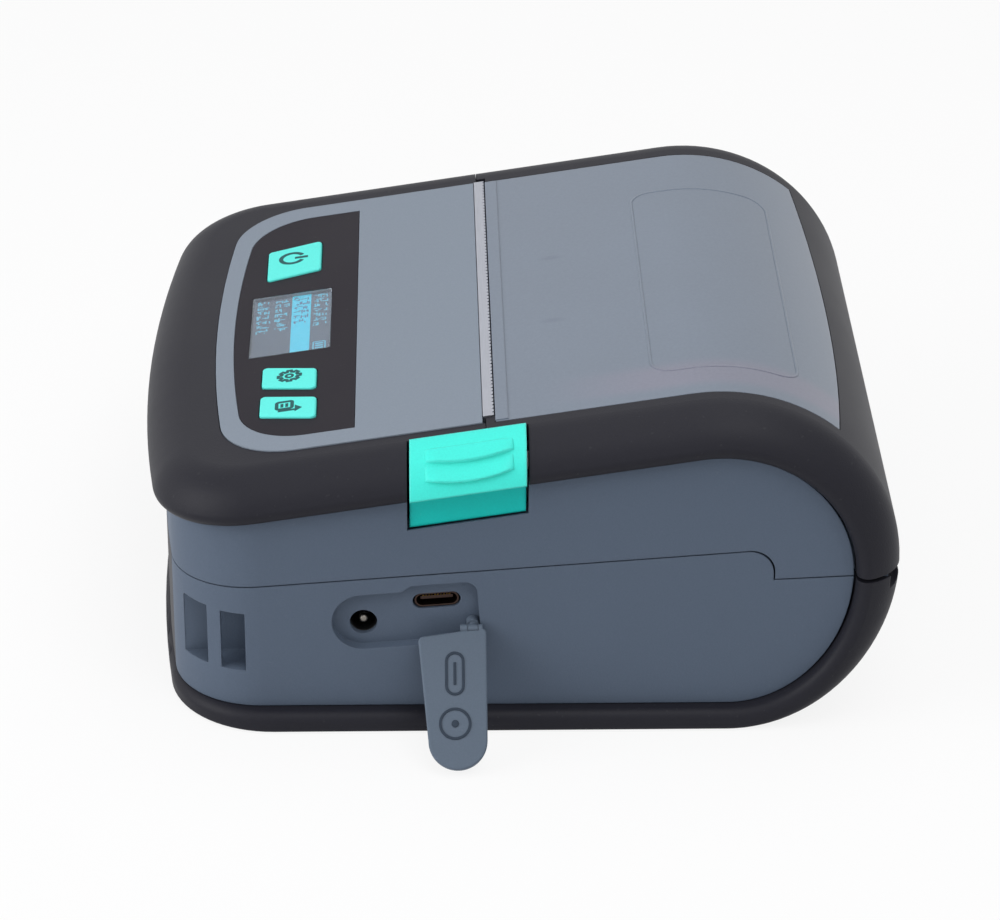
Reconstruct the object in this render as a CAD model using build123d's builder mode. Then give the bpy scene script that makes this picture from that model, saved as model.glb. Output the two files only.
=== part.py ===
from build123d import *
from math import acos, ceil, cos, hypot, pi, radians, sin, sqrt, tan
import os

os.makedirs("parts", exist_ok=True)

# Portable label printer. +X is its right side, -Y its front with the buttons, +Z is up.
# The origin is on the underside, in the middle of the closed body. Sizes are in millimetres.

# Overall body
body_length = 155.0
body_width = 140.0
arc_height = 34.5
top_arc = 37.2
top_slope = 8.9
front_bow = 380.0
shoulder = 10.0
foot_edge = 0.8
cap_corner = 22.0
tub_setback = 2.5

# Shell layers, counted inwards from the outer skin
skin = 2.4
ring_top = 9.4
ring_lip = 2.2
ring_foot = 4.4
ring_gap = 0.5
ring_bar = 5.7
cheek_step = 3.5
cheek_wall = 2.4
liner_wall = 2.4
fit_gap = 0.15
loose_gap = 0.3

# Parting lines
seam_height = 36.7
seam_slope = 4.36
seam_step_back = 25.9
seam_step_drop = 3.0
seam_step_r = 5.0
cover_start = -6.5

rear = body_length / 2
half = body_width / 2
top_arc_y = rear - top_arc
base_arc = arc_height
base_arc_y = rear - base_arc
cheek_x = half - cheek_step
liner_x = cheek_x - cheek_wall
wall_x = liner_x - liner_wall
reach = 2 * body_length
seam_step_y = rear - seam_step_back
seam_step_z = seam_height - seam_step_drop

slope_sin = sin(radians(top_slope))
slope_cos = cos(radians(top_slope))
tangent_y = top_arc_y - top_arc * slope_sin
tangent_z = arc_height + top_arc * slope_cos


def top_z(y, depth=0.0):
    # Height of the sloping top at a place along the body, or of a layer this deep under it
    return tangent_z - (tangent_y - y) * tan(radians(top_slope)) - depth / slope_cos


def seam_z(y):
    return seam_height + y * tan(radians(seam_slope))


# The sloping top, with its first axis along +X and its second up the slope to the rear
lid_plane = Plane(origin=(0, 0, top_z(0)), x_dir=(1, 0, 0), z_dir=(0, -slope_sin, slope_cos))


def yz(x):
    # A plane across the body at x, with its first axis along +Y and its second along +Z
    return Plane.YZ.offset(x)


def xy(z):
    return Plane.XY.offset(z)


def grown(x_range, amount):
    return (x_range[0] - amount, x_range[1] + amount)


def side_face(inset, foot=None):
    # The side view of the body, moved in from the skin; the underside may have its own inset
    low = inset if foot is None else foot
    r = top_arc - inset
    meet = (top_arc_y - r * slope_sin, arc_height + r * slope_cos)
    nose = (-reach, meet[1] - (meet[0] + reach) * tan(radians(top_slope)))
    with BuildSketch(Plane.YZ) as face:
        with BuildLine():
            Polyline(nose, (-reach, low - reach), (base_arc_y, low - reach), (base_arc_y, low))
            if foot is None:
                CenterArc((base_arc_y, arc_height), base_arc - inset, -90, 90)
            else:
                rise = arc_height - low
                EllipticalCenterArc((base_arc_y, arc_height), base_arc - inset, rise, -90, arc_size=90)
            CenterArc((top_arc_y, arc_height), r, 0, 90 + top_slope)
            Line(meet, nose)
        make_face()
        with Locations((base_arc_y, low)):
            Rectangle(2 * reach, 2 * reach, align=(Align.CENTER, Align.MAX), mode=Mode.SUBTRACT)
    return face.sketch


def body_plan(inset, setback=0.0):
    # The plan view with its bowed front, moved in by this much, its front set back further
    x = half - inset
    front = -rear + inset + setback
    side = front + front_bow - sqrt(front_bow**2 - x**2)
    with BuildSketch() as face:
        with BuildLine():
            ThreePointArc((-x, side), (0, front), (x, side))
            Polyline((x, side), (x, reach), (-x, reach), (-x, side))
        make_face()
        fillet(face.vertices().group_by(Axis.Y)[0], cap_corner - inset)
    return face.sketch


def under_seam(shift):
    # All that lies under the parting line, which steps down ahead of the rear ring
    edge = seam_z(seam_step_y - seam_step_r) + shift
    bend = (seam_step_y - seam_step_r + shift, edge)
    with BuildSketch(Plane.YZ) as face:
        with BuildLine():
            Line((-reach, seam_z(-reach) + shift), bend)
            RadiusArc(bend, (seam_step_y + shift, edge - seam_step_r), seam_step_r)
            Polyline(
                (seam_step_y + shift, edge - seam_step_r),
                (seam_step_y + shift, seam_step_z + shift),
                (rear - ring_top, arc_height + shift),
                (reach, arc_height + shift),
                (reach, -reach),
                (-reach, -reach),
                (-reach, seam_z(-reach) + shift),
            )
        make_face()
    return face.sketch


def rect_at(plane, x_range, y_range, radius=0.0):
    # A rectangle between two places on each axis of the plane
    with BuildSketch(plane) as face:
        with Locations((sum(x_range) / 2, sum(y_range) / 2)):
            if radius:
                RectangleRounded(x_range[1] - x_range[0], y_range[1] - y_range[0], radius)
            else:
                Rectangle(x_range[1] - x_range[0], y_range[1] - y_range[0])
    return face.sketch


def outline(plane, points):
    with BuildSketch(plane) as face:
        with BuildLine():
            Polyline(*points, close=True)
        make_face()
    return face.sketch


def solid(face, depth):
    return extrude(face, amount=depth, mode=Mode.PRIVATE)


def block(x_range, y_range, z_range, radius=0.0):
    return solid(rect_at(xy(z_range[0]), x_range, y_range, radius), z_range[1] - z_range[0])


def rod(plane, x, y, radius, length):
    with BuildSketch(plane) as face:
        with Locations((x, y)):
            Circle(radius)
    return solid(face.sketch, length)


def side_solid(inset, foot=None, x_half=reach):
    return extrude(side_face(inset, foot), amount=x_half, both=True, mode=Mode.PRIVATE)


def plan_solid(inset, setback=0.0):
    return solid(body_plan(inset, setback), reach)


def seam_solid(shift):
    return extrude(under_seam(shift), amount=reach, both=True, mode=Mode.PRIVATE)


def sloped_block(x_range, y_range, depths):
    # A block between two depths under the sloping top; its ends stand upright
    y0, y1 = y_range
    deep, shallow = max(depths), min(depths)
    bottom = [(y0, top_z(y0, deep)), (y1, top_z(y1, deep))]
    points = bottom + [(y1, top_z(y1, shallow)), (y0, top_z(y0, shallow))]
    return solid(outline(yz(x_range[0]), points), x_range[1] - x_range[0])


def lid_y(y):
    # A place along the body, measured along the sloping top
    return y / slope_cos


def lid_solid(face, high, low):
    # A plate from one height over the sloping top down to another
    return solid(face.moved(Location(lid_plane.z_dir * high)), low - high)


def save(piece, name):
    piece.part.label = name
    export_step(piece.part, f"parts/{name}.step")


# Blanks that the shells are cut from
with BuildPart() as upper_blank:
    extrude(side_face(0), amount=half, both=True)
    add(plan_solid(0), mode=Mode.INTERSECT)
    add(block((-reach, reach), (-reach, reach), (-reach, arc_height)), mode=Mode.SUBTRACT)
    rim = upper_blank.edges().filter_by(lambda e: e.center().Z > arc_height + 1)
    rim = [e for e in rim if abs(e.tangent_at(0.5).Z) < 0.9]
    fillet([e for e in rim if abs(e.center().X) > 1 or e.center().Y < tangent_y - rear], shoulder)

heel_steps = 6
with BuildPart() as heel_blank:
    for step in range(heel_steps + 1):
        turn = radians(90 * step / heel_steps)
        edge = shoulder + (foot_edge - shoulder) * (1 - cos(2 * turn)) / 2
        core = base_arc - 1.4 * ring_top
        spoke = Plane(origin=(0, base_arc_y, arc_height), x_dir=(1, 0, 0), z_dir=(0, sin(turn), cos(turn)))
        with BuildSketch(spoke):
            with BuildLine():
                Polyline((-half, base_arc - edge), (-half, core), (half, core), (half, base_arc - edge))
                CenterArc((half - edge, base_arc - edge), edge, 0, 90)
                Line((half - edge, base_arc), (edge - half, base_arc))
                CenterArc((edge - half, base_arc - edge), edge, 90, 90)
            make_face()
    loft()

with BuildPart() as lower_blank:
    add(solid(body_plan(0, tub_setback), seam_z(rear)))
    add(block((-reach, reach), (base_arc_y, reach), (-1, reach)), mode=Mode.SUBTRACT)
    fillet(lower_blank.faces().sort_by(Axis.Z)[0].edges().sort_by(Axis.Y)[:-1], foot_edge)
    add(heel_blank.part)


def under_top(place):
    # How deep a place lies under the outer skin, seen from the side
    if place.Y > tangent_y:
        return top_arc - hypot(place.Y - top_arc_y, place.Z - arc_height)
    return (top_z(place.Y) - place.Z) * slope_cos


def upper_lip(edge):
    # The edges where the inner side of the upper ring meets the outer skin
    middle = edge @ 0.5
    level = abs(under_top(middle) - ring_top) < 0.05
    return level and middle.Z > arc_height + 0.5 and (abs(middle.X) > 1 or middle.Y < 0)


def lower_lip(edge):
    # The same on the lower ring, at the sides
    middle = edge @ 0.5
    out = (middle.Y - base_arc_y) / (base_arc - ring_top)
    down = (middle.Z - arc_height) / (arc_height - ring_foot)
    level = hypot(out, down) < 1.02 if middle.Y > base_arc_y else abs(middle.Z - ring_foot) < 0.05
    return level and middle.Z < arc_height and abs(middle.X) > half - 1


with BuildPart() as upper_ring:
    add(upper_blank.part)
    add(side_solid(ring_top), mode=Mode.SUBTRACT)
    fillet(upper_ring.edges().filter_by(upper_lip), ring_lip)

with BuildPart() as lower_ring:
    add(lower_blank.part)
    add(side_solid(ring_top, ring_foot), mode=Mode.SUBTRACT)
    fillet(lower_ring.edges().filter_by(lower_lip), ring_lip)

# Release latch: a push piece on the right shoulder, over the parting line of cap and cover
latch_y = (-21.8, 1.4)
latch_inner_x = 60.4
latch_proud = 0.6
latch_lip_depth = 8.3
latch_drop = 16.4
latch_skirt_x = (64.4, 65.9)
latch_travel = 3.5
latch_gap = 0.5
latch_pocket_x = (latch_skirt_x[0] - loose_gap, latch_skirt_x[1] + fit_gap)
latch_room_y = (latch_y[0] - latch_gap, latch_y[1] + latch_gap)
latch_notch_x = (latch_inner_x - latch_gap, half + 5)
latch_notch = sloped_block(latch_notch_x, latch_room_y, (-shoulder, latch_drop + fit_gap))
latch_pocket = sloped_block(latch_pocket_x, latch_room_y, (-shoulder, latch_drop + latch_travel + loose_gap))

# Front cap: the dark fixed frame round the control panel
panel_half = half - 13.1
panel_rear = -7.15
panel_front = 14.9 - rear
panel_corner = 16.0
panel_rise = 0.2
panel_thick = 1.8
panel_ledge = 3.0
beam_y = (-10.9, -7.25)
beam_depth = 3.8


def panel_face(grow, back, half_width=panel_half, front=panel_front, corner=panel_corner, bow=front_bow):
    # A plate on the sloping top with a bowed, round-cornered front and a straight rear edge
    x = half_width + grow
    nose = lid_y(front) - grow
    side = nose + bow - sqrt(bow**2 - x**2)
    with BuildSketch(lid_plane) as face:
        with BuildLine():
            ThreePointArc((-x, side), (0, nose), (x, side))
            Polyline((x, side), (x, lid_y(back)), (-x, lid_y(back)), (-x, side))
        make_face()
        fillet(face.vertices().sort_by(Axis.Y)[:2], corner + grow)
    return face.sketch


with BuildPart() as front_cap:
    add(upper_ring.part)
    add(block((-reach, reach), (cover_start - fit_gap / 2, reach), (0, reach)), mode=Mode.SUBTRACT)
    add(plan_solid(ring_bar) & side_solid(skin), mode=Mode.SUBTRACT)
    add(lid_solid(panel_face(fit_gap, 0), shoulder, panel_rise - panel_thick), mode=Mode.SUBTRACT)
    add(lid_solid(panel_face(-panel_ledge, 0), 0, -ring_top), mode=Mode.SUBTRACT)
    add(sloped_block((fit_gap - wall_x, wall_x - fit_gap), beam_y, (panel_thick - panel_rise, beam_depth)))
    add(latch_notch, mode=Mode.SUBTRACT)
save(front_cap, "front_cap")

# Cover frame: the dark hinged frame round the window
window_half = half - 13.0
window_front = -4.45
window_rear = rear - 13.2
window_bow = 3.0
window_thick = 2.2
flange_half = window_half + 2.0
flange_open = window_half - 2.6
flange_thick = 1.2
flange_bar = 4.0
hinge_y = rear - 2.1
hinge_z = arc_height
knuckle_r = 2.1
cover_gap = 0.8
pin_r = 1.0
pin_gap = 0.05
relief_r = 3.0
knuckle_x = (36.0, 46.0)
knuckle_end = 54.0
platen_y = 1.2
platen_z = top_z(platen_y) - 9.53
platen_r = 5.6
shaft_r = 2.5
arm_x = (54.6, 56.2)
bush_r = 4.0
bush_flange_r = 4.8
bush_flange = 0.4
run_gap = 0.06
tear_x = (-window_half, window_half - 2.5)


def window_face(grow):
    # The window seen from above, with its bowed rear edge
    x = window_half + grow
    back = window_rear + grow
    with BuildSketch() as face:
        with BuildLine():
            Polyline((-x, back), (-x, window_front - grow), (x, window_front - grow), (x, back))
            ThreePointArc((x, back), (0, back + window_bow), (-x, back))
        make_face()
    return face.sketch


def knuckle(x_range, radius):
    return rod(yz(x_range[0]), hinge_y, hinge_z, radius, x_range[1] - x_range[0])


with BuildPart() as cover_frame:
    add(upper_ring.part)
    add(block((-reach, reach), (-reach, cover_start + fit_gap / 2), (0, reach)), mode=Mode.SUBTRACT)
    inner = block((ring_bar - half, half - ring_bar), (-rear, reach), (0, reach))
    add(inner & side_solid(skin), mode=Mode.SUBTRACT)
    flange = side_solid(skin - fit_gap, x_half=flange_half) - side_solid(skin + flange_thick)
    add(flange & block((-half, half), (window_front, reach), (arc_height + ring_top, reach)))
    hole_y = (window_front + flange_bar, window_rear - panel_ledge)
    add(block((-flange_open, flange_open), hole_y, (arc_height + ring_top, reach)), mode=Mode.SUBTRACT)
    add(solid(window_face(fit_gap), reach) - side_solid(window_thick + fit_gap / 2), mode=Mode.SUBTRACT)
    add(block((-flange_half, tear_x[1] + loose_gap), (-rear, window_front), (0, reach)), mode=Mode.SUBTRACT)
    add(latch_notch, mode=Mode.SUBTRACT)
    add(block((-half, half), (-reach, reach), (0, arc_height + cover_gap)), mode=Mode.SUBTRACT)
    for sign in (-1, 1):
        x0 = arm_x[0] if sign > 0 else -arm_x[1]
        arm = (x0, x0 + arm_x[1] - arm_x[0])
        arm_y = grown((platen_y, platen_y), bush_flange_r)
        add(sloped_block(arm, arm_y, (skin, top_z(0) - platen_z)))
        add(rod(yz(arm[0]), platen_y, platen_z, bush_flange_r + 1, arm[1] - arm[0]))
        add(rod(yz(arm[0]), platen_y, platen_z, bush_r + fit_gap / 3, arm[1] - arm[0]), mode=Mode.SUBTRACT)
    add(knuckle((-knuckle_end, knuckle_end), relief_r), mode=Mode.SUBTRACT)
    for x in (knuckle_x, (-knuckle_x[1], -knuckle_x[0])):
        add(knuckle(x, knuckle_r))
        heel = (hinge_y - knuckle_r, rear - fit_gap)
        add(block(x, heel, (hinge_z, hinge_z + relief_r + 1)) & side_solid(0) - side_solid(skin + knuckle_r))
    add(knuckle((-knuckle_end - 1, knuckle_end + 1), pin_r + pin_gap), mode=Mode.SUBTRACT)
save(cover_frame, "cover_frame")

# Window: smoked translucent sheet, bonded into the cover frame
with BuildPart() as cover_window:
    add(solid(window_face(0), reach))
    add(side_solid(0), mode=Mode.INTERSECT)
    add(side_solid(window_thick), mode=Mode.SUBTRACT)
    add(block((-half, half), (-reach, reach), (-reach, arc_height)), mode=Mode.SUBTRACT)
save(cover_window, "cover_window")

# Latch piece with its skirt and the finger that pushes the hooks
finger_y = (-21.3, -17.6)
finger_x = 56.2
finger_depth = (5.0, 7.9)
with BuildPart() as release_latch:
    arc_x = half - shoulder
    arc_r = shoulder + latch_proud
    start_angle = acos((latch_inner_x - arc_x) / arc_r)
    tip_x = arc_x + sqrt(arc_r**2 - (shoulder - latch_lip_depth) ** 2)
    z0 = top_z(latch_y[0], 0)
    lip_z = z0 - latch_lip_depth
    skirt_z = z0 - latch_drop
    with BuildSketch(Plane(origin=(0, latch_y[0], 0), x_dir=(1, 0, 0), z_dir=(0, -1, 0))) as latch_face:
        with BuildLine():
            tip = (tip_x, lip_z)
            crest = (latch_inner_x, z0 - shoulder + arc_r * sin(start_angle))
            RadiusArc(crest, tip, arc_r)
            Polyline(
                tip,
                (latch_skirt_x[1], lip_z),
                (latch_skirt_x[1], skirt_z),
                (latch_skirt_x[0], skirt_z),
                (latch_skirt_x[0], z0 - latch_lip_depth / 1.6),
                (latch_inner_x, z0 - 3.0),
                crest,
            )
        make_face()
    along = (latch_y[1] - latch_y[0]) / slope_cos
    extrude(latch_face.sketch, amount=along, dir=(0, slope_cos, slope_sin))
    add(sloped_block((finger_x, latch_skirt_x[0]), finger_y, finger_depth))
save(release_latch, "release_latch")

# Case posts: screws come up from the underside into the upper case
post_r = 3.4
screw_r = 1.35
screw_pilot = 0.1
screw_room = 0.25
front_post = (half - 22.5, 16.5 - rear)
rear_post = (wall_x - 4.3, 12.4)
post_top = arc_height + 9.5
web_half = 1.0


def post_places():
    return [(sign * x, y) for x, y in (front_post, rear_post) for sign in (-1, 1)]


def post_webs(z_range):
    # Short walls that tie each post to the case beside it
    webs = []
    for sign in (-1, 1):
        x = sign * front_post[0]
        webs.append(block((x - web_half, x + web_half), (front_post[1] - 7, front_post[1]), z_range))
        ends = sorted((sign * rear_post[0], sign * (wall_x + fit_gap)))
        webs.append(block(ends, (rear_post[1] - web_half, rear_post[1] + web_half), z_range))
    return webs


# Upper case: cheeks, front band and the walls inside them
with BuildPart() as upper_case:
    add(plan_solid(cheek_step) & side_solid(ring_top + ring_gap, ring_foot))
    add(plan_solid(cheek_step + cheek_wall) & side_solid(skin + loose_gap))
    add(plan_solid(cheek_step + cheek_wall + liner_wall), mode=Mode.SUBTRACT)
    for x, y in post_places():
        add(rod(xy(arc_height - shoulder), x, y, post_r, post_top - arc_height + shoulder))
    for web in post_webs((arc_height - shoulder, post_top)):
        add(web)
    for x, y in post_places():
        add(rod(xy(0), x, y, screw_r + screw_pilot, post_top - 1), mode=Mode.SUBTRACT)
    add(seam_solid(fit_gap), mode=Mode.SUBTRACT)
    add(latch_notch, mode=Mode.SUBTRACT)
    add(latch_pocket, mode=Mode.SUBTRACT)
save(upper_case, "upper_case")

# Ports on the right side, set out on a plane that runs parallel to the parting line
port_y = -31.3
port_z = seam_height - 13.6
port_plane = Plane(
    origin=(cheek_x, port_y, port_z),
    x_dir=(0, cos(radians(seam_slope)), sin(radians(seam_slope))),
    z_dir=(1, 0, 0),
)
deck = Plane(
    origin=(0, port_y, port_z),
    x_dir=(1, 0, 0),
    z_dir=(0, -sin(radians(seam_slope)), cos(radians(seam_slope))),
)
recess_r = 6.3
recess_end = 23.6
recess_step = (8.3, 10.3)
recess_top = 7.6
recess_rise = 1.2
recess_corner = 2.5
recess_depth = 2.2
jack_hole_r = 2.8
jack_x = (50.4, 62.9)
jack_half = 4.5
jack_v = (-4.2, 6.4)
usb_place = (15.2, 3.9)
usb_hole = (9.8, 3.5)
usb_shell = (9.0, 3.2)
peg_y = -9.15
peg_z = port_z + 0.2
peg_r = 1.0
peg_head_r = 1.3
recess_floor = cheek_x - recess_depth


def deck_block(x_range, u_range, v_range):
    # A block on the tilted deck: across the body, along the deck and up from it
    return solid(rect_at(deck.offset(v_range[0]), x_range, u_range), v_range[1] - v_range[0])


def port_slot(size, x_range):
    # A round-ended bar through the connector opening, between two places across the body
    with BuildSketch(port_plane.offset(x_range[0] - cheek_x)) as face:
        with Locations(usb_place):
            SlotOverall(size[0], size[1])
    return solid(face.sketch, x_range[1] - x_range[0])


def recess_face():
    with BuildSketch(port_plane.offset(-recess_depth)) as face:
        with BuildLine():
            Polyline(
                (0, recess_rise + recess_r),
                (recess_step[0], recess_rise + recess_r),
                (recess_step[1], recess_rise + recess_top),
                (recess_end, recess_rise + recess_top),
                (recess_end, recess_rise - recess_r),
                (0, recess_rise - recess_r),
            )
            CenterArc((0, recess_rise), recess_r, 90, 180)
        make_face()
        fillet(face.vertices().sort_by(Axis.X)[-2:], recess_corner)
    return face.sketch


# Strap slots through both front corners
strap_front = ((9.5 - rear, 14.4 - rear), (12.8, 26.5))
strap_back = ((17.2 - rear, 22.2 - rear), (12.8, 26.2))
strap_bar_x = half - 7.8
strap_inner_x = half - 12.3
strap_wall = 1.6

# Battery bay and the frames that hold the boards
battery_x = (-42.0, 12.0)
battery_y = (13.5 - rear, -10.0)
battery_z = (2.9, 17.9)
bay_gap = 0.4
bay_wall = 1.6
door_rim = 2.0
board_x = (14.0, 60.6)
board_u = (-22.0, 24.0)
board_v = (0.65, 2.25)
board_post_r = 2.2
rib_y = (1.0, 3.0)
frame_base_z = platen_z - 25.2
frame_plate = 1.2
bin_inset = (5.3, 6.9)
bin_foot = (9.0, 10.6)
bin_half = 61.4
bin_top = arc_height - 0.6
bulkhead_y = (7.2, 8.8)
bulkhead_top = platen_z - 10.5
pinion_y = base_arc_y - 4.0
pinion_pin_r = 1.5
floor_top = 5.0

# Lower front wall: the dark bumper covers the front between the strap corners
bumper_half = half - 20.0
bumper_back = 5.15


def knuckles():
    # Hinge barrels of the lower case, on both sides of the cover's own
    inner = knuckle_x[0] - loose_gap
    outer = knuckle_x[1] + loose_gap
    return ((-inner, inner), (outer, knuckle_end), (-knuckle_end, -outer))


with BuildPart() as lower_case:
    add(plan_solid(cheek_step) & side_solid(ring_top + ring_gap, ring_foot + fit_gap))
    add(plan_solid(cheek_step + cheek_wall) & side_solid(skin + fit_gap))
    add(plan_solid(cheek_step + cheek_wall + liner_wall) & side_solid(floor_top), mode=Mode.SUBTRACT)
    front_room = block(grown((-bumper_half, bumper_half), fit_gap), (-rear, -rear + cap_corner), (0, reach))
    add(front_room - plan_solid(bumper_back + fit_gap), mode=Mode.SUBTRACT)
    for x, y in post_places():
        add(rod(xy(floor_top - 1), x, y, post_r, post_top))
    for web in post_webs((floor_top - 1, post_top)):
        add(web)
    for sign in (-1, 1):
        pocket_x = sorted((sign * (strap_inner_x - strap_wall), sign * liner_x))
        pocket_y = (strap_front[0][0] - strap_wall, strap_back[0][1] + strap_wall)
        pocket_z = (strap_back[1][0] - strap_wall, strap_front[1][1] + strap_wall)
        add(block(pocket_x, pocket_y, pocket_z) & plan_solid(cheek_step + cheek_wall))
    tray_side = bay_gap + bay_wall
    add(block(grown(battery_x, tray_side), grown(battery_y, tray_side), (skin + fit_gap, 15.0)))
    add(block(grown(battery_x, bay_gap), grown(battery_y, bay_gap), (0, reach)), mode=Mode.SUBTRACT)
    for x in (board_x[0] + 3.0, board_x[1] - 12.5):
        for u in (board_u[0] + 3.2, board_u[1] - 3.6):
            foot = Vector(deck.from_local_coords((x, u, 0)))
            post = rod(xy(floor_top - 1), foot.X, foot.Y, board_post_r, reach)
            add(post - deck_block((-reach, reach), (-reach, reach), (board_v[0], reach)))
    add(block((-wall_x, wall_x), rib_y, (floor_top - 1, frame_base_z)))
    for x in (-40.0, 40.0):
        add(block(grown((x, x), web_half), (rear_post[1], 28.0), (floor_top - 1, bin_foot[0] - fit_gap)))
    add(rod(xy(floor_top - 1), 0, pinion_y, pinion_pin_r, bin_foot[0] - floor_top + 1 - fit_gap))
    add(seam_solid(-fit_gap), mode=Mode.INTERSECT)
    for x_range in knuckles():
        add(knuckle(x_range, knuckle_r))
        add(block(x_range, (hinge_y - 2.9, hinge_y), (hinge_z - 4.0, hinge_z)) & side_solid(skin + fit_gap))
    for x_range in (knuckle_x, (-knuckle_x[1], -knuckle_x[0])):
        add(knuckle(grown(x_range, loose_gap), relief_r), mode=Mode.SUBTRACT)
    add(knuckle((-knuckle_end - 1, knuckle_end + 1), pin_r + pin_gap), mode=Mode.SUBTRACT)
    for x, y in post_places():
        add(rod(xy(0), x, y, screw_r + screw_room, reach), mode=Mode.SUBTRACT)
    for sign in (-1, 1):
        outer = sorted((sign * strap_inner_x, sign * half))
        add(block(outer, strap_front[0], strap_front[1], 0.8), mode=Mode.SUBTRACT)
        add(block(outer, strap_back[0], strap_back[1], 0.8), mode=Mode.SUBTRACT)
        behind = sorted((sign * strap_inner_x, sign * strap_bar_x))
        between = (strap_front[0][0], strap_back[0][1])
        add(block(behind, between, strap_back[1]), mode=Mode.SUBTRACT)
    extrude(recess_face(), amount=recess_depth + 1, mode=Mode.SUBTRACT)
    add(rod(port_plane.offset(jack_x[1] - cheek_x), 0, 0, jack_hole_r, recess_depth + 1), mode=Mode.SUBTRACT)
    add(deck_block((wall_x - 1, jack_x[1] + fit_gap), (-4.7, 4.7), grown(jack_v, 0.2)), mode=Mode.SUBTRACT)
    add(port_slot(usb_hole, (wall_x - 1, cheek_x)), mode=Mode.SUBTRACT)
    add(rod(yz(recess_floor - 1.8), peg_y, peg_z, peg_r + run_gap, 2.0), mode=Mode.SUBTRACT)
save(lower_case, "lower_case")

with BuildPart() as lower_bumper:
    add(lower_ring.part)
    wall_y = (-rear, -rear + cap_corner)
    wall_zone = block((-bumper_half, bumper_half), wall_y, (0, reach))
    add(plan_solid(cheek_step) & side_solid(ring_top, ring_foot) & wall_zone)
    add(plan_solid(ring_bar) & side_solid(skin), mode=Mode.SUBTRACT)
    behind_wall = block(grown((-bumper_half, bumper_half), fit_gap), wall_y, (skin, reach))
    add(behind_wall & plan_solid(bumper_back), mode=Mode.SUBTRACT)
    add(seam_solid(-fit_gap), mode=Mode.INTERSECT)
    add(knuckle((-cheek_x, cheek_x), relief_r), mode=Mode.SUBTRACT)
    door_hole = (grown(battery_x, bay_gap + door_rim), grown(battery_y, bay_gap + door_rim))
    add(block(door_hole[0], door_hole[1], (-1, skin + 1), 3.0), mode=Mode.SUBTRACT)
    for x, y in post_places():
        add(rod(xy(0), x, y, 2 * screw_r + screw_room, 1.4), mode=Mode.SUBTRACT)
        add(rod(xy(0), x, y, screw_r + screw_room, skin), mode=Mode.SUBTRACT)
save(lower_bumper, "lower_bumper")

# Control panel: a raised plate with an overlay, three keys and a display
panel_under = 1.5
overlay_half = panel_half - 5.7
overlay_back = 44.7 - rear
overlay_front = 18.7 - rear
overlay_corner = 14.0
overlay_bow = 330.0
overlay_floor = -0.3
overlay_top = 0.15
key_rise = 0.6
key_travel = 0.4
key_flange = (1.55, 2.35)
key_stem = 3.4
key_radius = 1.0
flange_lip = 0.7
display_half = 14.0
display_y = (22.1 - rear, 39.1 - rear)
board_depth = (7.5, 9.1)
switch_top = key_stem + key_travel + 0.05
keys = {
    "power": ((-35.3, -21.2, 24.9 - rear), (-37.7, -23.6, 36.6 - rear)),
    "menu": ((19.9, 28.6, 25.3 - rear), (23.4, 32.2, 36.6 - rear)),
    "feed": ((32.7, 41.3, 25.2 - rear), (36.1, 44.9, 36.8 - rear)),
}


def key_face(key, grow, radius):
    # A key outline on the sloping top: a slanted, rounded four-sided shape
    (x0, x1, y0), (x2, x3, y1) = keys[key]
    front = lid_y(y0) - grow
    back = lid_y(y1) + grow
    points = [(x0 - grow, front), (x1 + grow, front), (x3 + grow, back), (x2 - grow, back)]
    with BuildSketch(lid_plane) as face:
        with BuildLine():
            Polyline(*points, close=True)
        make_face()
        fillet(face.vertices(), radius)
    return face.sketch


def key_middle(key):
    (x0, x1, y0), (x2, x3, y1) = keys[key]
    return ((x0 + x1 + x2 + x3) / 4, lid_y((y0 + y1) / 2))


def lid_block(x_range, y_range, high, low, radius=0.0):
    # A block square to the sloping top, between two heights over it
    return lid_solid(rect_at(lid_plane, x_range, (lid_y(y_range[0]), lid_y(y_range[1])), radius), high, low)


def lid_rod(x, y, radius, high, low):
    return rod(lid_plane.offset(low), x, y, radius, high - low)


post_x = 49.0
post_y = (29.5 - rear, 47.5 - rear)
with BuildPart() as top_panel:
    add(lid_solid(panel_face(0, panel_rear), panel_rise, -panel_under))
    room = panel_face(0.1, overlay_back + 0.1, overlay_half, overlay_front, overlay_corner, overlay_bow)
    add(lid_solid(room, 1, overlay_floor), mode=Mode.SUBTRACT)
    for key in keys:
        add(lid_solid(key_face(key, 0.3, key_radius), 2, -3), mode=Mode.SUBTRACT)
    display_room = grown((-display_half, display_half), fit_gap)
    add(lid_block(display_room, grown(display_y, fit_gap), 2, -3), mode=Mode.SUBTRACT)
    for x in (-post_x, post_x):
        for y in post_y:
            add(lid_rod(x, lid_y(y), 1.8, -panel_under, 0.05 - board_depth[0]))
save(top_panel, "top_panel")

with BuildPart() as control_overlay:
    overlay = panel_face(0, overlay_back, overlay_half, overlay_front, overlay_corner, overlay_bow)
    add(lid_solid(overlay, overlay_top, overlay_floor + 0.02))
    for key in keys:
        add(lid_solid(key_face(key, 0.2, key_radius), 2, -3), mode=Mode.SUBTRACT)
    display_gap = grown((-display_half, display_half), 0.1)
    add(lid_block(display_gap, grown(display_y, 0.1), 2, -3), mode=Mode.SUBTRACT)
save(control_overlay, "control_overlay")

with BuildPart() as display_glass:
    add(lid_block((-display_half, display_half), display_y, overlay_top, -1.2, 0.5))
save(display_glass, "display_glass")

with BuildPart() as display_module:
    add(lid_block((-16.5, 16.5), grown(display_y, 2.0), -1.65, -4.2))
    add(lid_block((-10.0, 10.0), grown(display_y, -3.5), -4.2, 0.05 - board_depth[0]))
    add(lid_block(grown((-display_half, display_half), -1), grown(display_y, -1), -1.3, -1.65))
save(display_module, "display_module")


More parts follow.
